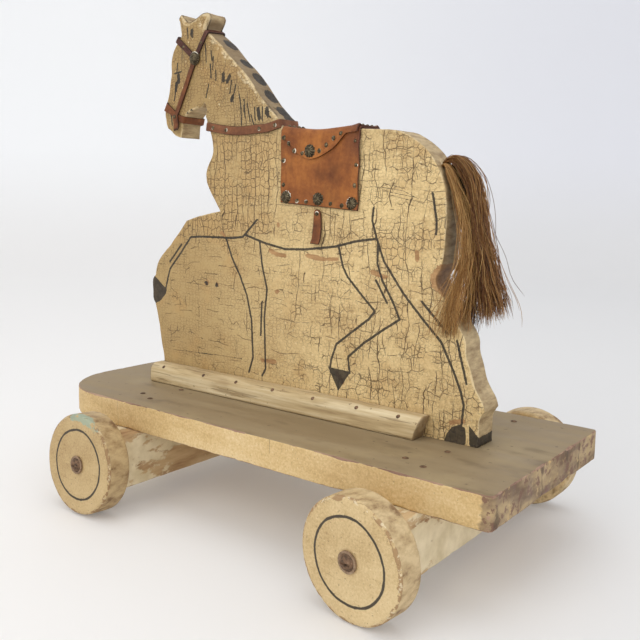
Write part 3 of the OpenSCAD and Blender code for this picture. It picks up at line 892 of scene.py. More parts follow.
THIN_LINES = [
    [(149, 119.6), (102, 122), (60, 123)], [(120, 121), (96, 121.4)],
    [(97, 402), (96.4, 396)], [(86, 380), (85.6, 374)], [(69, 351), (69.6, 346)],
    [(58, 346), (57.6, 340)], [(33.4, 344), (33, 336)], [(24, 338), (23, 334)],
    [(64, 362), (63, 356)], [(136, 366), (135, 360)], [(112, 404), (111.6, 399)],
    [(-86, 278), (-106, 275.4), (-119, 270)], [(-90, 275), (-116, 270.8)],
    [(-88, 281), (-108, 277)], [(-95, 272), (-112, 268.6)],
    [(111, 396), (112, 389)], [(88, 392), (89, 385)], [(79, 386), (80, 378)],
    [(67, 372), (66, 366)], [(62, 366), (61, 360)], [(53, 356), (53, 350)],
    [(48, 350), (47, 345)], [(38, 350), (37, 345)], [(27, 342), (26, 338)],
    [(85, 366), (86, 358)], [(79, 356), (79, 348)], [(66, 346), (65, 338)],
    [(55, 334), (54, 331)], [(60, 404), (60, 404.5)], [(76, 345), (75, 341)],
]
BLACK_AREAS = [
    [(181, 191), (172, 188), (164, 182), (158, 178), (159, 174), (167, 166), (174, 163),
     (181, 162)],
    [(-39, 130), (-62, 129), (-50, 111)],
    [(-150, 89), (-152, 95), (-156, 101), (-163, 104), (-167, 102), (-168, 95), (-168, 89)],
    [(-170, 105), (-179, 96), (-181, 89), (-171, 89)],
]
BARE_SPOTS = [
    [(26, 223), (18, 220), (9, 219.5)], [(-15, 221), (-30, 219), (-46, 220)],
    [(-80, 212), (-92, 209)],
    [(19, 126), (34, 125)], [(104, 188), (102, 190)], [(90, 189), (89, 188)],
    [(-48, 126), (-54, 119)], [(-154, 104), (-165, 107)], [(18, 188), (17, 188)],
    [(17, 245), (17, 244.5)], [(-120, 230), (-121, 224)], [(84, 236), (80, 233)],
]
BARE_AREAS = [
    [(-148, 224), (-138, 221), (-132, 213), (-134, 204), (-143, 199), (-152, 206)],
]


def down(points):
    return [(x, z - TOP) for x, z in points]


def stroke_points(line, half):
    """Points beside a stroke, so that the mesh can carry its edges."""
    p = spaced(down(line), 1.5)
    d = np.gradient(p, axis=0)
    d /= np.maximum(np.linalg.norm(d, axis=1), 1e-9)[:, None]
    side = np.stack([-d[:, 1], d[:, 0]], axis=1)
    return np.concatenate([p + side * k * half for k in (-2, -1, 0, 1, 2)])


BODY_HALF, HEAD_HALF, BROAD_HALF, THIN_HALF, BARE_HALF = 1.0, 0.7, 1.9, 0.6, 1.9
OVALS = [(87, 403), (66, 387), (52, 371), (38, 356), (24, 342), (15, 332)]


def horse_marks(p, w, rim):
    dark = 1 - to_lines(p, [down(s) for s in BODY_LINES]) / (2 * BODY_HALF)
    for lines, half, most in ((HEAD_LINES, HEAD_HALF, 1), (BROAD_LINES, BROAD_HALF, 1),
                              (THIN_LINES, THIN_HALF, 0.62)):
        dark = np.maximum(dark, most - to_lines(p, [down(s) for s in lines]) / (2 * half))
    for area in BLACK_AREAS:
        polygon = down(area)
        d = to_lines(p, [polygon + polygon[:1]])
        signed = np.where(inside(p, polygon), d, -d)
        dark = np.maximum(dark, 0.5 + signed / 1.6)
    # dark ovals along the crest stand for the mane
    on_rim = rim > 0.9
    for x, z in OVALS:
        d = np.hypot(np.linalg.norm(p - np.array([x, z - TOP]), axis=1) / 8.2, (w + 4) / 7.5)
        dark = np.where(on_rim, np.maximum(dark, 0.5 + (1 - d) * 1.4), dark)
    bare = 1 - to_lines(p, [down(s) for s in BARE_SPOTS]) / (2 * BARE_HALF)
    for area in BARE_AREAS:
        bare = np.where(inside(p, down(area)), 0.85, bare)
    return np.stack([np.clip(dark, 0, 1), np.clip(bare, 0, 1), rim], axis=1)


def build_horse():
    outline = []
    for chain in OUTLINE:
        straight = len(chain) == 2
        outline += list(spaced(chain if straight else smooth(chain), 3.0))[:-1]
    o = np.array(outline)

    def radius(i):
        x, z = o[i]
        chipped = max(0.0, wobble(x, z, 3.0, 0.07) - 0.15)
        ear = 3.0 if z > 322 and x > 95 else 1.1 if z > 246 else 0
        return 0.25 if z < 0.5 else 1.1 + 2.2 * chipped + ear

    extra = []
    for strokes, half in ((BODY_LINES, BODY_HALF), (HEAD_LINES, HEAD_HALF),
                          (BROAD_LINES, BROAD_HALF), (THIN_LINES, THIN_HALF),
                          (BARE_SPOTS, BARE_HALF)):
        extra += [stroke_points(stroke, half) for stroke in strokes]
    for area in BLACK_AREAS + BARE_AREAS:
        extra.append(stroke_points(area + area[:1], 0.8))
    verts, faces, marks = slab(o, -SIDE, SIDE, lambda x, z, w: put(x, w, z), radius, 4.0,
                               horse_marks, np.concatenate(extra), inner_rows=9, saw=0.35)
    # the outline lies in (x, z), so (x, y, z) is left handed: turn the faces over
    place(mesh("horse_painted", verts, flipped(faces), PAINT, marks), "toy", ["horse"])


build_horse()


# ---- Board, beams, battens ------------------------------------------------------------------

def build_board():
    x1, y1, r = 230.0, 96.0, 66.0
    ring = []
    for cx, cy, rr, a0 in [(x1 - r, -y1 + r, r, -90), (x1 - r, y1 - r, r, 0),
                           (-x1 + 4, y1 - 4, 4, 90), (-x1 + 4, -y1 + 4, 4, 180)]:
        steps = 24 if rr > 10 else 4
        for k in range(steps + 1):
            a = radians(a0 + 90 * k / steps)
            ring.append((cx + rr * cos(a), cy + rr * sin(a)))
    ring.append(ring[0])
    o = spaced(ring, 3.0)[:-1]

    def radius(i):
        x, y = o[i]
        chipped = max(0.0, wobble(x, y, 7.0, 0.06) - 0.05) + 1.4 * max(
            0.0, wobble(x, y, 1.0, 0.19) - 0.25)
        return 1.0 + 2.6 * chipped

    def marks(p, w, rim):
        top = np.where((w > -0.5) & (rim < 0.5), 1.0, 0.0)
        stain = np.clip((-222 - p[:, 0]) / 6 + 0.45, 0, 0.7) * (rim > 0.3)
        corner = np.exp(-((p[:, 0] + 228) ** 2 + (p[:, 1] - 94) ** 2) / 150)
        edge = np.where((rim > 0.05) & (rim < 0.95), 0.75, 0.0)
        near_top = np.clip((w + 3.5) / 3, 0, 1) * (rim > 0.5)
        chipped = 0.52 * corner * (rim > 0.3)
        return np.stack([top, np.maximum(stain, 0.6 * corner),
                         np.maximum(chipped, np.maximum(edge, 0.46 * near_top))], axis=1)

    verts, faces, m = slab(o, -BOARD_T, 0.0, put, radius, 6.0, marks, bumps=0.22, saw=0.3)
    place(mesh("board", verts, faces, BOARD, m), "toy", ["platform"])


def build_beam(name, node, x):
    end, low, half = 118, -71, 20
    o = spaced([(-end, low), (end, low), (end, -BOARD_T), (-end, -BOARD_T), (-end, low)], 4.0)[:-1]

    def marks(p, w, rim):
        return np.stack([0 * w, 0 * w, rim * 0.6], axis=1)

    def radius(i):
        return 1.2 + max(0.0, 1.5 * wobble(o[i, 0], o[i, 1], x, 0.1))

    verts, faces, m = slab(o, -half, half, lambda y, z, w: put(x + w, y, z), radius, 6.0, marks,
                           bumps=0.3)
    place(mesh(name, verts, faces, BEAM, m), "toy", [node])


def build_batten(name, node, side):
    """A strip with one rounded edge, bulging and thinning a little along its length."""
    section = [(0.6, 0), (15.6, 0), (16, 0.6), (16, 10)]
    section += [(8 + 8 * cos(a), 10 + 8 * sin(a)) for a in
                [radians(k * 11.25) for k in range(1, 8)]]
    section += [(8, 18), (0.6, 17.9), (0, 17.2), (0, 0.6)]
    s = spaced(section + section[:1], 1.6)[:-1]
    xs = [-133, -132.6, -131.8] + list(np.arange(-129, 163, 3.0)) + [163.8, 164.6, 165]
    verts, marks = [], []
    for i, x in enumerate(xs):
        end = min(i, len(xs) - 1 - i)
        shrink = (0.9, 0.97, 1)[min(end, 2)]
        for q in s:
            w = 0.35 * wobble(x, q[0], q[1] + side * 9, 0.06) * (q[1] > 1)
            # the rear end is split off aslant
            slant = max(0.0, 1 - (x + 133) / 24) * (1.2 - 5.2 * q[1] / 18)
            y = 8 + (q[0] - 8) * shrink
            z = 9 + (q[1] - 9) * (shrink if q[1] > 9 else 1) + w
            verts.append(put(x + slant + (0.8 * wobble(q[0], q[1], x, 0.2) if end < 3 else 0),
                             side * (SIDE + max(0.02, y)), max(0.02, z)))
            marks.append((0, 1 if end < 2 else 0, 1 if end < 2 else 0.3 if q[1] > 17 else 0))
    n = len(s)
    faces = rings(len(xs), n) + [tuple(reversed(range(n)))]
    faces.append(tuple((len(xs) - 1) * n + i for i in range(n)))
    obj = mesh(name, verts, faces if side > 0 else flipped(faces), WOOD, marks)
    place(obj, "toy", [node])


build_board()
build_beam("front_crosspiece", "front_beam", FRONT_AXLE)
build_beam("rear_crosspiece", "rear_beam", REAR_AXLE)
build_batten("foot_strip_left", "batten_left", 1)
build_batten("foot_strip_right", "batten_right", -1)


# ---- Wheels ---------------------------------------------------------------------------------

def build_wheel(node, x, side, lean, toe):
    """A thick wheel with a worn rim, leaning and toed out by some degrees."""
    r, t, bore, rim_r = 42.5, 22.0, 3.06, 3.0
    height = (r - rim_r) * cos(radians(lean)) + (t / 2 - rim_r) * abs(
        sin(radians(lean))) + rim_r
    profile = [(bore, -t / 2, 0), (16, -t / 2, 0), (r - rim_r, -t / 2, 0.5)]
    profile += [(r - rim_r + rim_r * sin(a), -t / 2 + rim_r - rim_r * cos(a), 1)
                for a in (0.5, 1.1)]
    profile += [(r, -t / 2 + rim_r, 0.3), (r, -4, 0), (r, 0, 0), (r, 4, 0),
                (r, t / 2 - rim_r, 0.3)]
    profile += [(r - rim_r + rim_r * sin(a), t / 2 - rim_r + rim_r * cos(a), 1)
                for a in (1.2, 0.8, 0.4)]
    profile += [(r - rim_r, t / 2, 0.7)]
    profile += [(q, t / 2, 0) for q in (37.5, 34, 30, 26, 21, 16, 11, 8)] + [(bore, t / 2, 0)]
    segments = 128
    seed = x * 0.37 + side * 11
    verts, marks = [], []
    for pr, py, edge in profile:
        for i in range(segments):
            a = 2 * pi * i / segments
            c, s = cos(a), sin(a)
            chip = 0.0
            if edge:
                n1 = wobble(c * 3.4, s * 3.4, seed)
                n2 = wobble(c * 11, s * 11, seed + 5)
                chip = max(0.0, n1 * 0.6 + n2 * 0.5 + 0.4 * wobble(c * 25, s * 25, seed) - 0.26)
                chip *= 0.9 * edge
            flat = 0.18 * wobble(c * pr * 0.08, s * pr * 0.08, seed + 2) if pr > bore else 0
            rr = pr - chip - (0.25 * abs(wobble(c * 5, s * 5, py * 0.2 + seed)) if pr >= r else 0)
            yy = py - (flat + chip * 0.8 if py > 8 else -chip * 0.8 if py < -8 else 0)
            if pr > bore and py > 8:
                yy -= 0.18
            verts.append((rr * c * MM, side * yy * MM, rr * s * MM))
            tread = 1.0 if pr >= r - 0.5 and abs(py) < t / 2 - 1 else 0.0
            tread = max(tread, 0.75 if py < -t / 2 + 1 else 0)
            odd = 0.0
            if node == "wheel_front_left" and pr > 36:
                odd = max(0.0, 1 - abs(a - 1.75) / 0.75) * (1 if py > 4 else 0.3)
            marks.append((tread, odd, edge if py > 0 else 0.6 * edge))
    faces = rings(len(profile), segments, True)
    obj = mesh(node + "_disc", verts, faces if side > 0 else flipped(faces),
               SHADED_FRONT_WHEEL if x > 0 else WHEEL, marks)
    turn = Matrix.Rotation(radians(-toe * side), 4, "Z") @ Matrix.Rotation(
        radians(lean * side), 4, "X")
    obj.matrix_world = Matrix.Translation(
        ((x + CENTRE_X) * MM, side * WHEEL_Y * MM, height * MM)) @ turn
    place(obj, node[len("wheel_"):] + "_wheel", [node])


build_wheel("wheel_front_left", FRONT_AXLE, 1, 4, 0.5)
build_wheel("wheel_front_right", FRONT_AXLE, -1, 2, 1)
build_wheel("wheel_rear_left", REAR_AXLE, 1, -0.8, 6.4)
build_wheel("wheel_rear_right", REAR_AXLE, -1, 1, -1)


# ---- Saddle ---------------------------------------------------------------------------------

SCALLOP = smooth([(-66, 239), (-58, 236), (-54, 230.5), (-48, 224), (-42, 219), (-35, 215),
                  (-27, 212), (-19, 210.5), (-11, 212.5), (-4, 217), (2, 223), (7, 227),
                  (11, 230)])
SEAT_LINE = np.array(smooth(SEAT, 8))[::-1]
SCALLOP_LINE = np.array(SCALLOP)


def seat_z(x):
    return float(np.interp(x, SEAT_LINE[:, 0], SEAT_LINE[:, 1]))


def folded(xs, bottom, base, lift, bend):
    """A sheet over the horse's back: up the left face, over the edge and down the right."""
    grid, normals = [], []
    for x in xs:
        top = seat_z(x) + base
        low = bottom(x)
        half = SIDE + base
        corner = bend + base
        row, nrow = [], []
        shares = eased(30, 0.02)[:-2]
        stop = top - corner
        low = min(low, stop - 0.25)
        left = []
        for s in shares:
            z = low + (stop - low) * s
            left.append((half, z, (0, 1, 0)))
        for k in range(1, 5):
            a = k / 5 * pi / 2
            left.append((half - corner + corner * cos(a), stop + corner * sin(a),
                         (0, cos(a), sin(a))))
        for k in range(0, 5):
            left.append(((half - corner) * (1 - k / 4.5), top, (0, 0, 1)))
        right = [(-y, z, (n[0], -n[1], n[2])) for y, z, n in reversed(left)]
        for y, z, n in left + right:
            out = lift(x, z, 1 if y > 0 else -1) if abs(n[1]) > 0.3 else 0.1
            jag = 0.25 * wobble(x * 0.5, z * 0.5, y) if z < low + 0.5 else 0
            row.append((x + 0.2 * wobble(z * 0.2, x, y * 0.1, 0.5), y + n[1] * out,
                        z + n[2] * out + jag))
            nrow.append(n)
        grid.append(row)
        normals.append(nrow)
    v, f, m = sheet_grid(grid, normals, LEATHER)
    # darker towards the rear top corner and along the lower edge
    darkening = [0.9 * min(1, max(0, (-48 - q[0]) / 18)) * min(1, max(0, (q[2] - 196) / 24))
            + 0.5 * max(0, 1 - (q[2] - 169) / 9) for q in v]
    m = [(dirt, marks[1], marks[2]) for dirt, marks in zip(darkening, m)]
    v, f, m = shifted((v, f, m))
    return v, flipped(f), m


def saddle_lift(x, z, side):
    """Outward swell of the saddle: the rear edge curls up between its tacks."""
    rear = max(0.0, (-54 - x) / 13)
    front = max(0.0, (x - 8) / 5)
    between = abs(sin((z - 176) / 30 * pi)) if z < 224 else 0.3
    swell = 0.35 * (1 + wobble(x, z, side * 4, 0.045))
    low = max(0.0, (178 - z) / 8)
    curl = 1.5 * rear ** 2 * between + 0.5 * front * between
    curl += low * (0.35 + 0.45 * wobble(x, 3, side, 0.13))
    return 0.12 + swell + curl


saddle_xs = [-67, -66.7, -66] + list(np.linspace(-64, 10, 30)) + [12, 12.7, 13]
saddle = folded(saddle_xs, lambda x: 170 + 5 * (x + 67) / 80, UNDER, saddle_lift, 1.6)
saddle_piece = mesh("saddle_leather", *saddle[:2], TAN, saddle[2])
place(saddle_piece, "toy", ["saddle"])


def skirt_lift(x, z, side):
    edge = float(np.interp(x, SCALLOP_LINE[:, 0], SCALLOP_LINE[:, 1]))
    near = max(0.0, 1 - (z - edge) / 5)
    ripple = 0.35 + 0.35 * cos((x + 19) / 7.5 * pi)
    return saddle_lift(x, z, side) + 0.1 + near * 0.55 * ripple


skirt_xs = [-66, -65.7, -65] + list(np.linspace(-63.5, 9, 34)) + [10.4, 11.1, 11.4]
skirt = folded(skirt_xs, lambda x: float(
    np.interp(x, SCALLOP_LINE[:, 0], SCALLOP_LINE[:, 1])), UNDER + LEATHER, skirt_lift, 1.8)
skirt_piece = mesh("saddle_skirt_leather", *skirt[:2], TAN, skirt[2])
place(skirt_piece, "toy", ["saddle_skirt"])


def build_stirrup(name, node, body, side):
    """A short strap that curls out to a fold at its lower end."""
    grid, normals = [], []
    for t in eased(26, 0.03):
        down_by = -3.2 + 28.2 * t
        hang = max(0.0, down_by) / 25
        out = 0.35 + 2.6 * hang ** 2.2 + (1.1 * max(0.0, hang - 0.86) / 0.14)
        sway = 1.2 * sin(hang * 2.4)
        half = 3.5 + 0.5 * min(1, hang * 3)
        if down_by < 0:
            half = sqrt(max(0.6, 3.4 ** 2 - down_by ** 2))
        row, nrow = [], []
        slope = np.array([0, 1, 0.22 * hang])
        slope /= np.linalg.norm(slope)
        for u in eased(10, 0.08):
            v = 2 * u - 1
            cup = 0.7 * hang * v * v + 0.5 * hang * v
            row.append((-26 + v * half + sway * (-0.6), side * (SIDE + out + cup),
                        167 - down_by + 0.3 * v))
            nrow.append((0, side * slope[1], slope[2]))
        grid.append(row)
        normals.append(nrow)
    v, f, m = shifted(sheet_grid(grid, normals, LEATHER))
    place(mesh(name, v, f if side > 0 else flipped(f), ORANGE, m), body, [node])


build_stirrup("stirrup_leather_left", "stirrup_strap_left", "left_stirrup", 1)
build_stirrup("stirrup_leather_right", "stirrup_strap_right", "right_stirrup", -1)


# ---- Breast band and bridle -----------------------------------------------------------------

BAND_MID = [(98, 240.2), (84, 238), (70, 236.2), (56, 235.8), (43, 236.6), (30, 237.2),
            (20, 239.6)]


def corner(at, way, side, half, r):
    """A strap's quarter turn from one face of the plank on to its edge."""
    turn = []
    for k in range(1, 6):
        a = k / 6 * pi / 2
        turn.append(((at[0] + way[0] * r * sin(a), side * (half - r + r * cos(a)),
                      at[1] + way[1] * r * sin(a)),
                     (way[0] * sin(a), side * cos(a), way[1] * sin(a))))
    return turn


def around(points, gap, r=2.0):
    """A closed path round the plank: along the left face and back along the right."""
    line = spaced(smooth(points), 2.5)
    half = SIDE + gap
    start, end = line[0], line[-1]
    path = [((x, half, z), (0, 1, 0)) for x, z in line]
    ahead = (end - line[-2]) / np.linalg.norm(end - line[-2])
    back = (start - line[1]) / np.linalg.norm(start - line[1])

    def cap(at, way, side):
        flat = [((at[0] + way[0] * r, y, at[1] + way[1] * r), (way[0], 0, way[1]))
                for y in np.linspace(side * (half - r), -side * (half - r), 9)]
        return corner(at, way, side, half, r) + flat + corner(at, way, -side, half, r)[::-1]

    path += cap(end, ahead, 1)
    path += [((x, -half, z), (0, -1, 0)) for x, z in line[::-1]]
    path += cap(start, back, -1)
    return path


def oriented(piece):
    """Turns the faces over if they point inwards."""
    v, f, m = piece
    a = np.array(v)
    volume = 0.0
    for g in f:
        for k in range(1, len(g) - 1):
            volume += np.dot(a[g[0]], np.cross(a[g[k]], a[g[k + 1]]))
    return v, f if volume > 0 else flipped(f), m


def strap_piece(name, node, path, width, mat, closed=False):
    v, f, m = oriented(shifted(band(path, width, STRAP, closed=closed)))
    place(mesh(name, v, f, mat, m), "toy", [node])


band_path = around([(99.8, 240.5)] + BAND_MID[1:-1] + [(18.4, 239.8)], 0.25)
strap_piece("breast_band_leather", "breast_band", band_path, 7.6, BROWN,
            closed=True)


def wrap(points, gap=0.3, r=1.8, skew=(0.0, 0.0)):
    """A path along the left face from the first point, over the edge at the last, and back.

    skew moves the far side's end along the edge, so that the strap crosses it aslant."""
    line = spaced(points, 1.8)
    half = SIDE + gap
    way = (line[-1] - line[-2]) / np.linalg.norm(line[-1] - line[-2])
    at = line[-1]
    path = [((x, half, z), (0, 1, 0)) for x, z in line] + corner(at, way, 1, half, r)
    for y in np.linspace(half - r, 0, 6):
        path.append(((at[0] + way[0] * r, y, at[1] + way[1] * r), (way[0], 0, way[1])))
    path += [((p[0], -p[1], p[2]), (n[0], -n[1], n[2])) for p, n in path[-2::-1]]
    aslant = []
    for k, (p, n) in enumerate(path):
        far = max(0, k - (len(path) - len(line))) / len(line)
        share = (half - p[1]) / (2 * half) * (1 - far)
        aslant.append(((p[0] + skew[0] * share, p[1], p[2] + skew[1] * share), n))
    return aslant


BUTTON = (116, 301)
strap_piece("crown_leather", "crown_strap", wrap(
    [(114.6, 303), (107, 314.2), (102.4, 321)], 0.3, 1.5, (4.2, 3.2)), 4.6, DARK)
strap_piece("brow_leather", "brow_band", wrap([(118.6, 303), (128, 310.5), (137.9, 318.3)], 0.3),
            5.4, DARK)
strap_piece("nose_leather", "nose_band", wrap([(139.8, 250.8), (146, 255.6), (153.4, 259.8)], 0.6),
            lambda t: 5.6 + 5.2 * sin(pi * t) ** 2, ORANGE)
strap_piece("chin_leather", "chin_strap", wrap([(140.5, 250.6), (136, 249.2), (133.2, 248.3)],
                                               0.5, 1.4), 6.4, ORANGE)


def build_cheek(name, node, side):
    foot = (138.4, 238.4) if side > 0 else (139.8, 244.5)
    run = spaced([(117.6, 298), (128, 277.5), (139.2, 256), (140.6, 250), foot], 1.8)
    n = len(run)
    path = []
    for i, (x, z) in enumerate(run):
        t = i / (n - 1)
        over = 1.5 * min(1, max(0.0, (t - 0.72) / 0.06))
        hang = 1.4 * max(0.0, (t - 0.9) / 0.1)
        path.append(((x, side * (SIDE + 0.3 + over + hang), z), (0, side, 0)))
    v, f, m = oriented(shifted(band(path, lambda t: 5.2 + (1.2 if t > 0.8 else 0), STRAP,
                                    lambda t, u: 0.12 * u)))
    place(mesh(name, v, f, ORANGE, m), "toy", [node])


build_cheek("cheek_leather_left", "cheek_strap_left", 1)
build_cheek("cheek_leather_right", "cheek_strap_right", -1)


# ---- Tacks ----------------------------------------------------------------------------------

rng = random.Random(11)


def tack_group(name, node, places, mat=BRASS):
    """One mesh of all the tacks of a node; each place gives dome()'s arguments, in board mm."""
    parts = []
    for kw in places:
        v, f, m = dome(**kw)
        parts.append(oriented(([put(*q) for q in v], f, m)))
    v, f, m = join(parts)
    place(mesh(name, v, f, mat, m), "toy", [node])


def face_tack(x, z, side, y, r=2.0, h=1.4, **more):
    tilt = (rng.uniform(-0.12, 0.12), side, rng.uniform(-0.12, 0.12))
    return dict(centre=(x, side * y, z), normal=tilt, r=r * rng.uniform(0.94, 1.06), h=h,
                turn=rng.uniform(0, 6), rim=0.3, segments=20, **more)


def on_saddle(x, z, side):
    return SIDE + UNDER + LEATHER + saddle_lift(x, z, side) - 0.1


def on_skirt(x, z, side):
    return SIDE + UNDER + 2 * LEATHER + skirt_lift(x, z, side) - 0.1


# the third number of each tack is the strength of its painted highlight
saddle_tacks = [(10, 210, 1), (10, 190, 0), (-64, 206, 1), (-64, 190, 0), (-5, 177, 1),
                (-15, 176, 0.4), (-40, 175, 0.2), (-51, 174, 0), (-63, 224, 0.5)]
skirt_tacks = [(8.5, 228.5, 0), (3, 223.5, 0.3), (-3, 217.5, 1), (-11, 215.5, 0.3),
               (-28.5, 217, 0.2), (-36, 221.5, 0.3), (-43, 226.5, 0.3), (-50, 230, 0)]
group = []
for side in (1, -1):
    group += [face_tack(x, z, side, on_saddle(x, z, side), bright=b) for x, z, b in saddle_tacks]
    group += [face_tack(x, z, side, on_skirt(x, z, side), bright=b) for x, z, b in skirt_tacks]
tack_group("saddle_tack_heads", "saddle_tacks", group)

group = []
for side in (1, -1):
    for x, z, b in ((7, 180, 1), (-27, 179, 0.35), (-61, 176, 1)):
        group.append(dict(centre=(x, side * on_saddle(x, z, side), z), normal=(0, side, 0.05),
                          r=5.8, h=2.5, flutes=12, depth=0.24, rim=0.1, segments=72,
                          turn=rng.uniform(0, 1), bright=b, bead=True))
    group.append(dict(centre=(-19, side * on_skirt(-19, 217, side), 217), normal=(0, side, 0),
                      r=5.8, h=2.6, flutes=12, depth=0.24, rim=0.1, segments=72, bead=True))
tack_group("flower_tack_heads", "daisy_tacks", group)

group = [face_tack(-26, 167, side, SIDE + 0.35 + LEATHER, r=2.0, bright=0.9) for side in (1, -1)]
tack_group("stirrup_tack_heads", "stirrup_tacks", group)

for name, node, x, z, lean in (("pommel_tack_heads", "pommel_tacks", 8, 234.4, 0.12),
                               ("cantle_tack_heads", "cantle_tacks", -62, 233.3, -0.07)):
    group = [dict(centre=(x + rng.uniform(-0.5, 0.5), y, z + 2 * LEATHER + 0.2),
                  normal=(lean, rng.uniform(-0.1, 0.1), 1), r=2.0, h=1.4, rim=0.3, segments=20,
                  turn=rng.uniform(0, 6)) for y in (-9, -3, 3, 9)]
    tack_group(name, node, group)

group = []
for side in (1, -1):
    group += [face_tack(x, z, side, SIDE + 0.2 + STRAP, r=1.9, h=1.2, bright=0.5)
              for x, z in ((93, 239.5), (77, 237), (38, 236.8), (20.5, 239.2))]
tack_group("breast_band_tack_heads", "breast_band_tacks", group)

group = []
for side in (1, -1):
    group += [face_tack(x, z, side, SIDE + 0.25 + STRAP, r=1.5, h=0.9) for x, z in
              ((130, 312), (107.5, 313.8))]
    group.append(face_tack(141, 251, side, SIDE + 0.4 + 2 * STRAP, r=1.8, h=1.1))
tack_group("bridle_tack_heads", "bridle_tacks", group)

for node, side in (("bridle_button_left", 1), ("bridle_button_right", -1)):
    tack_group(node + "_dome", node, [dict(
        centre=(BUTTON[0], side * (SIDE + 1.7), BUTTON[1]), normal=(0, side, 0), r=6.0, h=3.2,
        flutes=20, depth=0.1, rim=0.1, segments=80, bright=0.8, turn=0.4)])


# ---- Tail -----------------------------------------------------------------------------------

REAR = [(-133, 296), (-137, 300), (-142, 302), (-147, 301), (-152, 297), (-157, 290),
        (-160, 284), (-163, 270), (-166, 246), (-169, 237), (-173, 225), (-177, 212),
        (-182, 199), (-186, 184)]
HAIRS = 1180
DARK_SHARE, NEAR_SHARE = 0.13, 0.42  # of the hairs: up to here dark ones, up to here near locks
FORE = [(-133, 293), (-136.5, 294.5), (-139.5, 293), (-142, 287), (-147, 274), (-153.5, 256),
        (-158, 237), (-159, 222), (-157, 203), (-152.5, 186), (-148.5, 162)]


def build_tail():
    """Thin hairs in two bundles: golden locks on the near side, browner hair behind them."""
    rear, fore = smooth(REAR), smooth(FORE)
    pick = random.Random(5)
    verts, faces, marks = [], [], []
    sides, rows = 3, 24
    for _ in range(HAIRS):
        bundle = pick.random()
        behind = bundle < DARK_SHARE
        near = DARK_SHARE <= bundle < NEAR_SHARE
        if behind:
            # dark hair on the far side, seen in the gap between the two bundles
            b = pick.uniform(0, 0.22)
            side = pick.uniform(-1.1, -0.55)
            shade = pick.uniform(0.0, 0.2)
        elif near:
            b = pick.uniform(0, 0.27)
            side = max(-0.2, pick.gauss(0.5, 0.32))
            shade = min(1, max(0, pick.gauss(0.72, 0.19)))
        else:
            b = pick.uniform(0.5, 1)
            side = pick.gauss(-0.4, 0.33)
            shade = min(1, max(0, pick.gauss(0.46, 0.22)))
        length = 1 - 0.12 * pick.random() - (0.34 * pick.random() if pick.random() < 0.3 else 0)
        thick = pick.uniform(0.11, 0.24)
        away = pick.gauss(0, 9) if pick.random() < 0.1 else pick.gauss(0, 2.2)
        crossing = pick.random() < 0.07
        phase = pick.uniform(0, 6)
        twist = pick.uniform(-0.5, 0.5) if crossing else pick.uniform(-0.06, 0.06)
        curl = pick.uniform(0.9, 3.2) if near else pick.uniform(0.7, 2.5)
        wave = pick.uniform(7, 18)
        fly = 0
        if pick.random() < 0.09:
            # stray hairs that leave their bundle
            curl = pick.uniform(2.5, 5)
            wave = pick.uniform(4, 9)
            fly = pick.gauss(-1, 3)
        base = len(verts)
        points = []
        for i in range(rows):
            t = i / (rows - 1) * length
            bb = min(1.04, max(-0.02, b + twist * t))
            q = along(fore, t) * (1 - bb) + along(rear, t) * bb
            spread = 3.4 + 4.6 * min(1, t * 12) + 4.5 * min(1, t * 1.6) + 4 * t * t
            loose = curl * min(1, t * 2)
            y = side * spread + loose * (sin(phase + t * wave)
                                         + 0.5 * sin(phase * 3 + t * wave * 2.4))
            x = q[0] + away * t * t + fly * min(1, t * 5)
            x += loose * (0.8 * sin(phase * 2 + t * wave)
                          + 0.45 * sin(phase * 5 + t * wave * 2.2))
            if near and side > 0.4:
                # the near locks hang in front of the leg
                share = min(1, max(0, (t - 0.4) / 0.35))
                share *= share * (3 - 2 * share)
                y += share * max(0, 13.2 + 2 * side - y)
                x += 17 * share * (side - 0.4) * t * (1 - bb)
            points.append(put(x, y, q[1] - TOP + 0.7 * curl * cos(phase + 5 * t) * t))
        for i, q in enumerate(points):
            a, c = np.array(points[max(i - 1, 0)]), np.array(points[min(i + 1, rows - 1)])
            d = (c - a) / max(np.linalg.norm(c - a), 1e-9)
            u = np.cross(d, (0.3, 1, 0.1))
            u /= max(np.linalg.norm(u), 1e-9)
            v = np.cross(d, u)
            r = thick * MM * (1 if i < rows - 1 else 0.25)
            for k in range(sides):
                ang = 2 * pi * k / sides
                verts.append(np.array(q) + (u * cos(ang) + v * sin(ang)) * r)
                marks.append((shade, i / rows, 0))
        for i in range(rows - 1):
            for k in range(sides):
                m = (k + 1) % sides
                faces.append((base + i * sides + k, base + i * sides + m,
                              base + (i + 1) * sides + m, base + (i + 1) * sides + k))
        faces.append((base + 2, base + 1, base))
        last = base + (rows - 1) * sides
        faces.append((last, last + 1, last + 2))
    obj = mesh("tail_strands", verts, faces, HAIR, marks)
    put(-130, 0, 208)
    put(-152, 0, 206)
    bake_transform(obj)
    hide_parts("tail_hair")


build_tail()


# ---- CAD pieces that keep their shape -------------------------------------------------------

def finish_node(node, mat):
    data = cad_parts[node].data
    if not data.materials:
        data.materials.append(mat)
    for i in range(len(data.materials)):
        data.materials[i] = mat


for corner in ("front_left", "front_right", "rear_left", "rear_right"):
    finish_node("screw_" + corner, IRON)
    finish_node("washer_" + corner, WASHER)
for node in ("batten_nails_left", "batten_nails_right", "beam_nails", "foot_screws", "pull_eye"):
    finish_node(node, IRON)
finish_node("tail_peg", WOOD)


# ---- Floor, light, camera -------------------------------------------------------------------

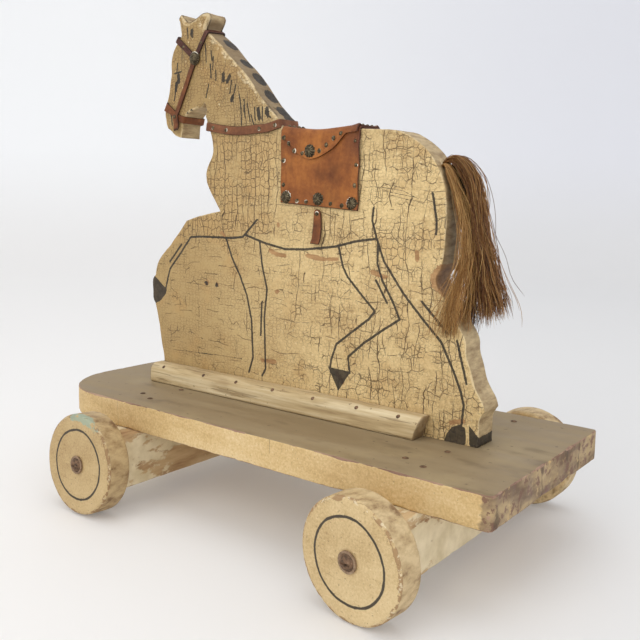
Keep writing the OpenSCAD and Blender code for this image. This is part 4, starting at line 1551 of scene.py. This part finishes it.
def stage_material():
    """Warm pale floor, cooler wall, both painted a little darker on the camera's right as painted
    shade, and glowing faintly as painted light.
    """
    g = Graph("pale_backdrop", 0.75)
    x, y, z = g.xyz()
    # painted shade: the colours fall off towards the camera's right
    across = x * -0.793 + y * -0.609
    floor = g.mix(g.step(across, -0.35, 0.45), (0.775, 0.752, 0.725, 1), (0.672, 0.66, 0.645, 1))
    wall = g.mix(g.step(across, -1.0, 1.4), (0.88, 0.88, 0.875, 1), (0.70, 0.70, 0.735, 1))
    far = g.step(g.math("SQRT", x * x + y * y), 0.7, 2.0)
    # painted light: floor and wall glow faintly, a little more far out, which also lightens the
    # shadows under the toy
    g.bsdf.inputs["Emission Color"].default_value = (0.93, 0.96, 1.0, 1)
    g.link(far * 0.01 + 0.12, g.bsdf.inputs["Emission Strength"])
    return g.finish(g.mix(g.step(z, 0.0, 0.5), floor, wall))


def build_stage():
    """A pale floor that turns up into a wall all round, far from the toy."""
    flat, curve, tall = 1.9, 0.9, 2.4
    profile = [(0, 0), (0.5, 0), (1.1, 0), (flat, 0)]
    profile += [(flat + curve * sin(a), curve - curve * cos(a)) for a in
                [radians(k * 9) for k in range(1, 11)]]
    profile.append((flat + curve, tall))
    segments = 96
    verts = [(0, 0, 0)]
    for r, h in profile[1:]:
        for i in range(segments):
            a = 2 * pi * i / segments
            verts.append((r * cos(a), r * sin(a), h))
    faces = [(0, 1 + i, 1 + (i + 1) % segments) for i in range(segments)]
    for k in range(len(profile) - 2):
        for i in range(segments):
            j = (i + 1) % segments
            a, b = 1 + k * segments, 1 + (k + 1) * segments
            faces.append((a + i, b + i, b + j, a + j))
    obj = mesh("floor", verts, faces, stage_material())


def area_light(name, at, aim, size, power, colour=(1, 1, 1)):
    data = bpy.data.lights.new(name, "AREA")
    data.shape = "DISK"
    data.size = size
    data.energy = power
    data.color = colour
    obj = bpy.data.objects.new(name, data)
    bpy.context.scene.collection.objects.link(obj)
    obj.location = at
    obj.rotation_euler = (Vector(aim) - Vector(at)).to_track_quat("-Z", "Y").to_euler()
    return obj


build_stage()
area_light("key", (0.12, 1.6, 1.35), (-0.05, 0, 0.12), 1.3, 8.5, (1, 0.985, 0.955))
area_light("top", (-0.1, 0.1, 2.3), (0, 0, 0), 1.8, 8, (1, 1, 1))
area_light("fill", (-1.6, 0.8, 0.8), (0, 0, 0.2), 1.5, 5, (0.96, 0.98, 1))

world = bpy.data.worlds.new("studio")
bpy.context.scene.world = world
world.use_nodes = True
world.node_tree.nodes["Background"].inputs[0].default_value = (0.96, 0.975, 1.0, 1)
world.node_tree.nodes["Background"].inputs[1].default_value = 0.82

cam_data = bpy.data.cameras.new("camera")
cam_data.sensor_width = 36
cam_data.lens = 1.25578125 * cam_data.sensor_width
cam_data.clip_start = 0.01
cam = bpy.data.objects.new("camera", cam_data)
bpy.context.scene.collection.objects.link(cam)
right = Vector((-0.79326, -0.60860, 0.01855))
up = Vector((0.10822, -0.11095, 0.98792))
back = Vector((-0.59919, 0.78568, 0.15387))
cam.matrix_world = Matrix.Translation((-0.43836, 0.53730, 0.27118)) @ Matrix(
    (right, up, back)).transposed().to_4x4()
bpy.context.scene.camera = cam
bpy.context.scene.view_settings.view_transform = "Standard"
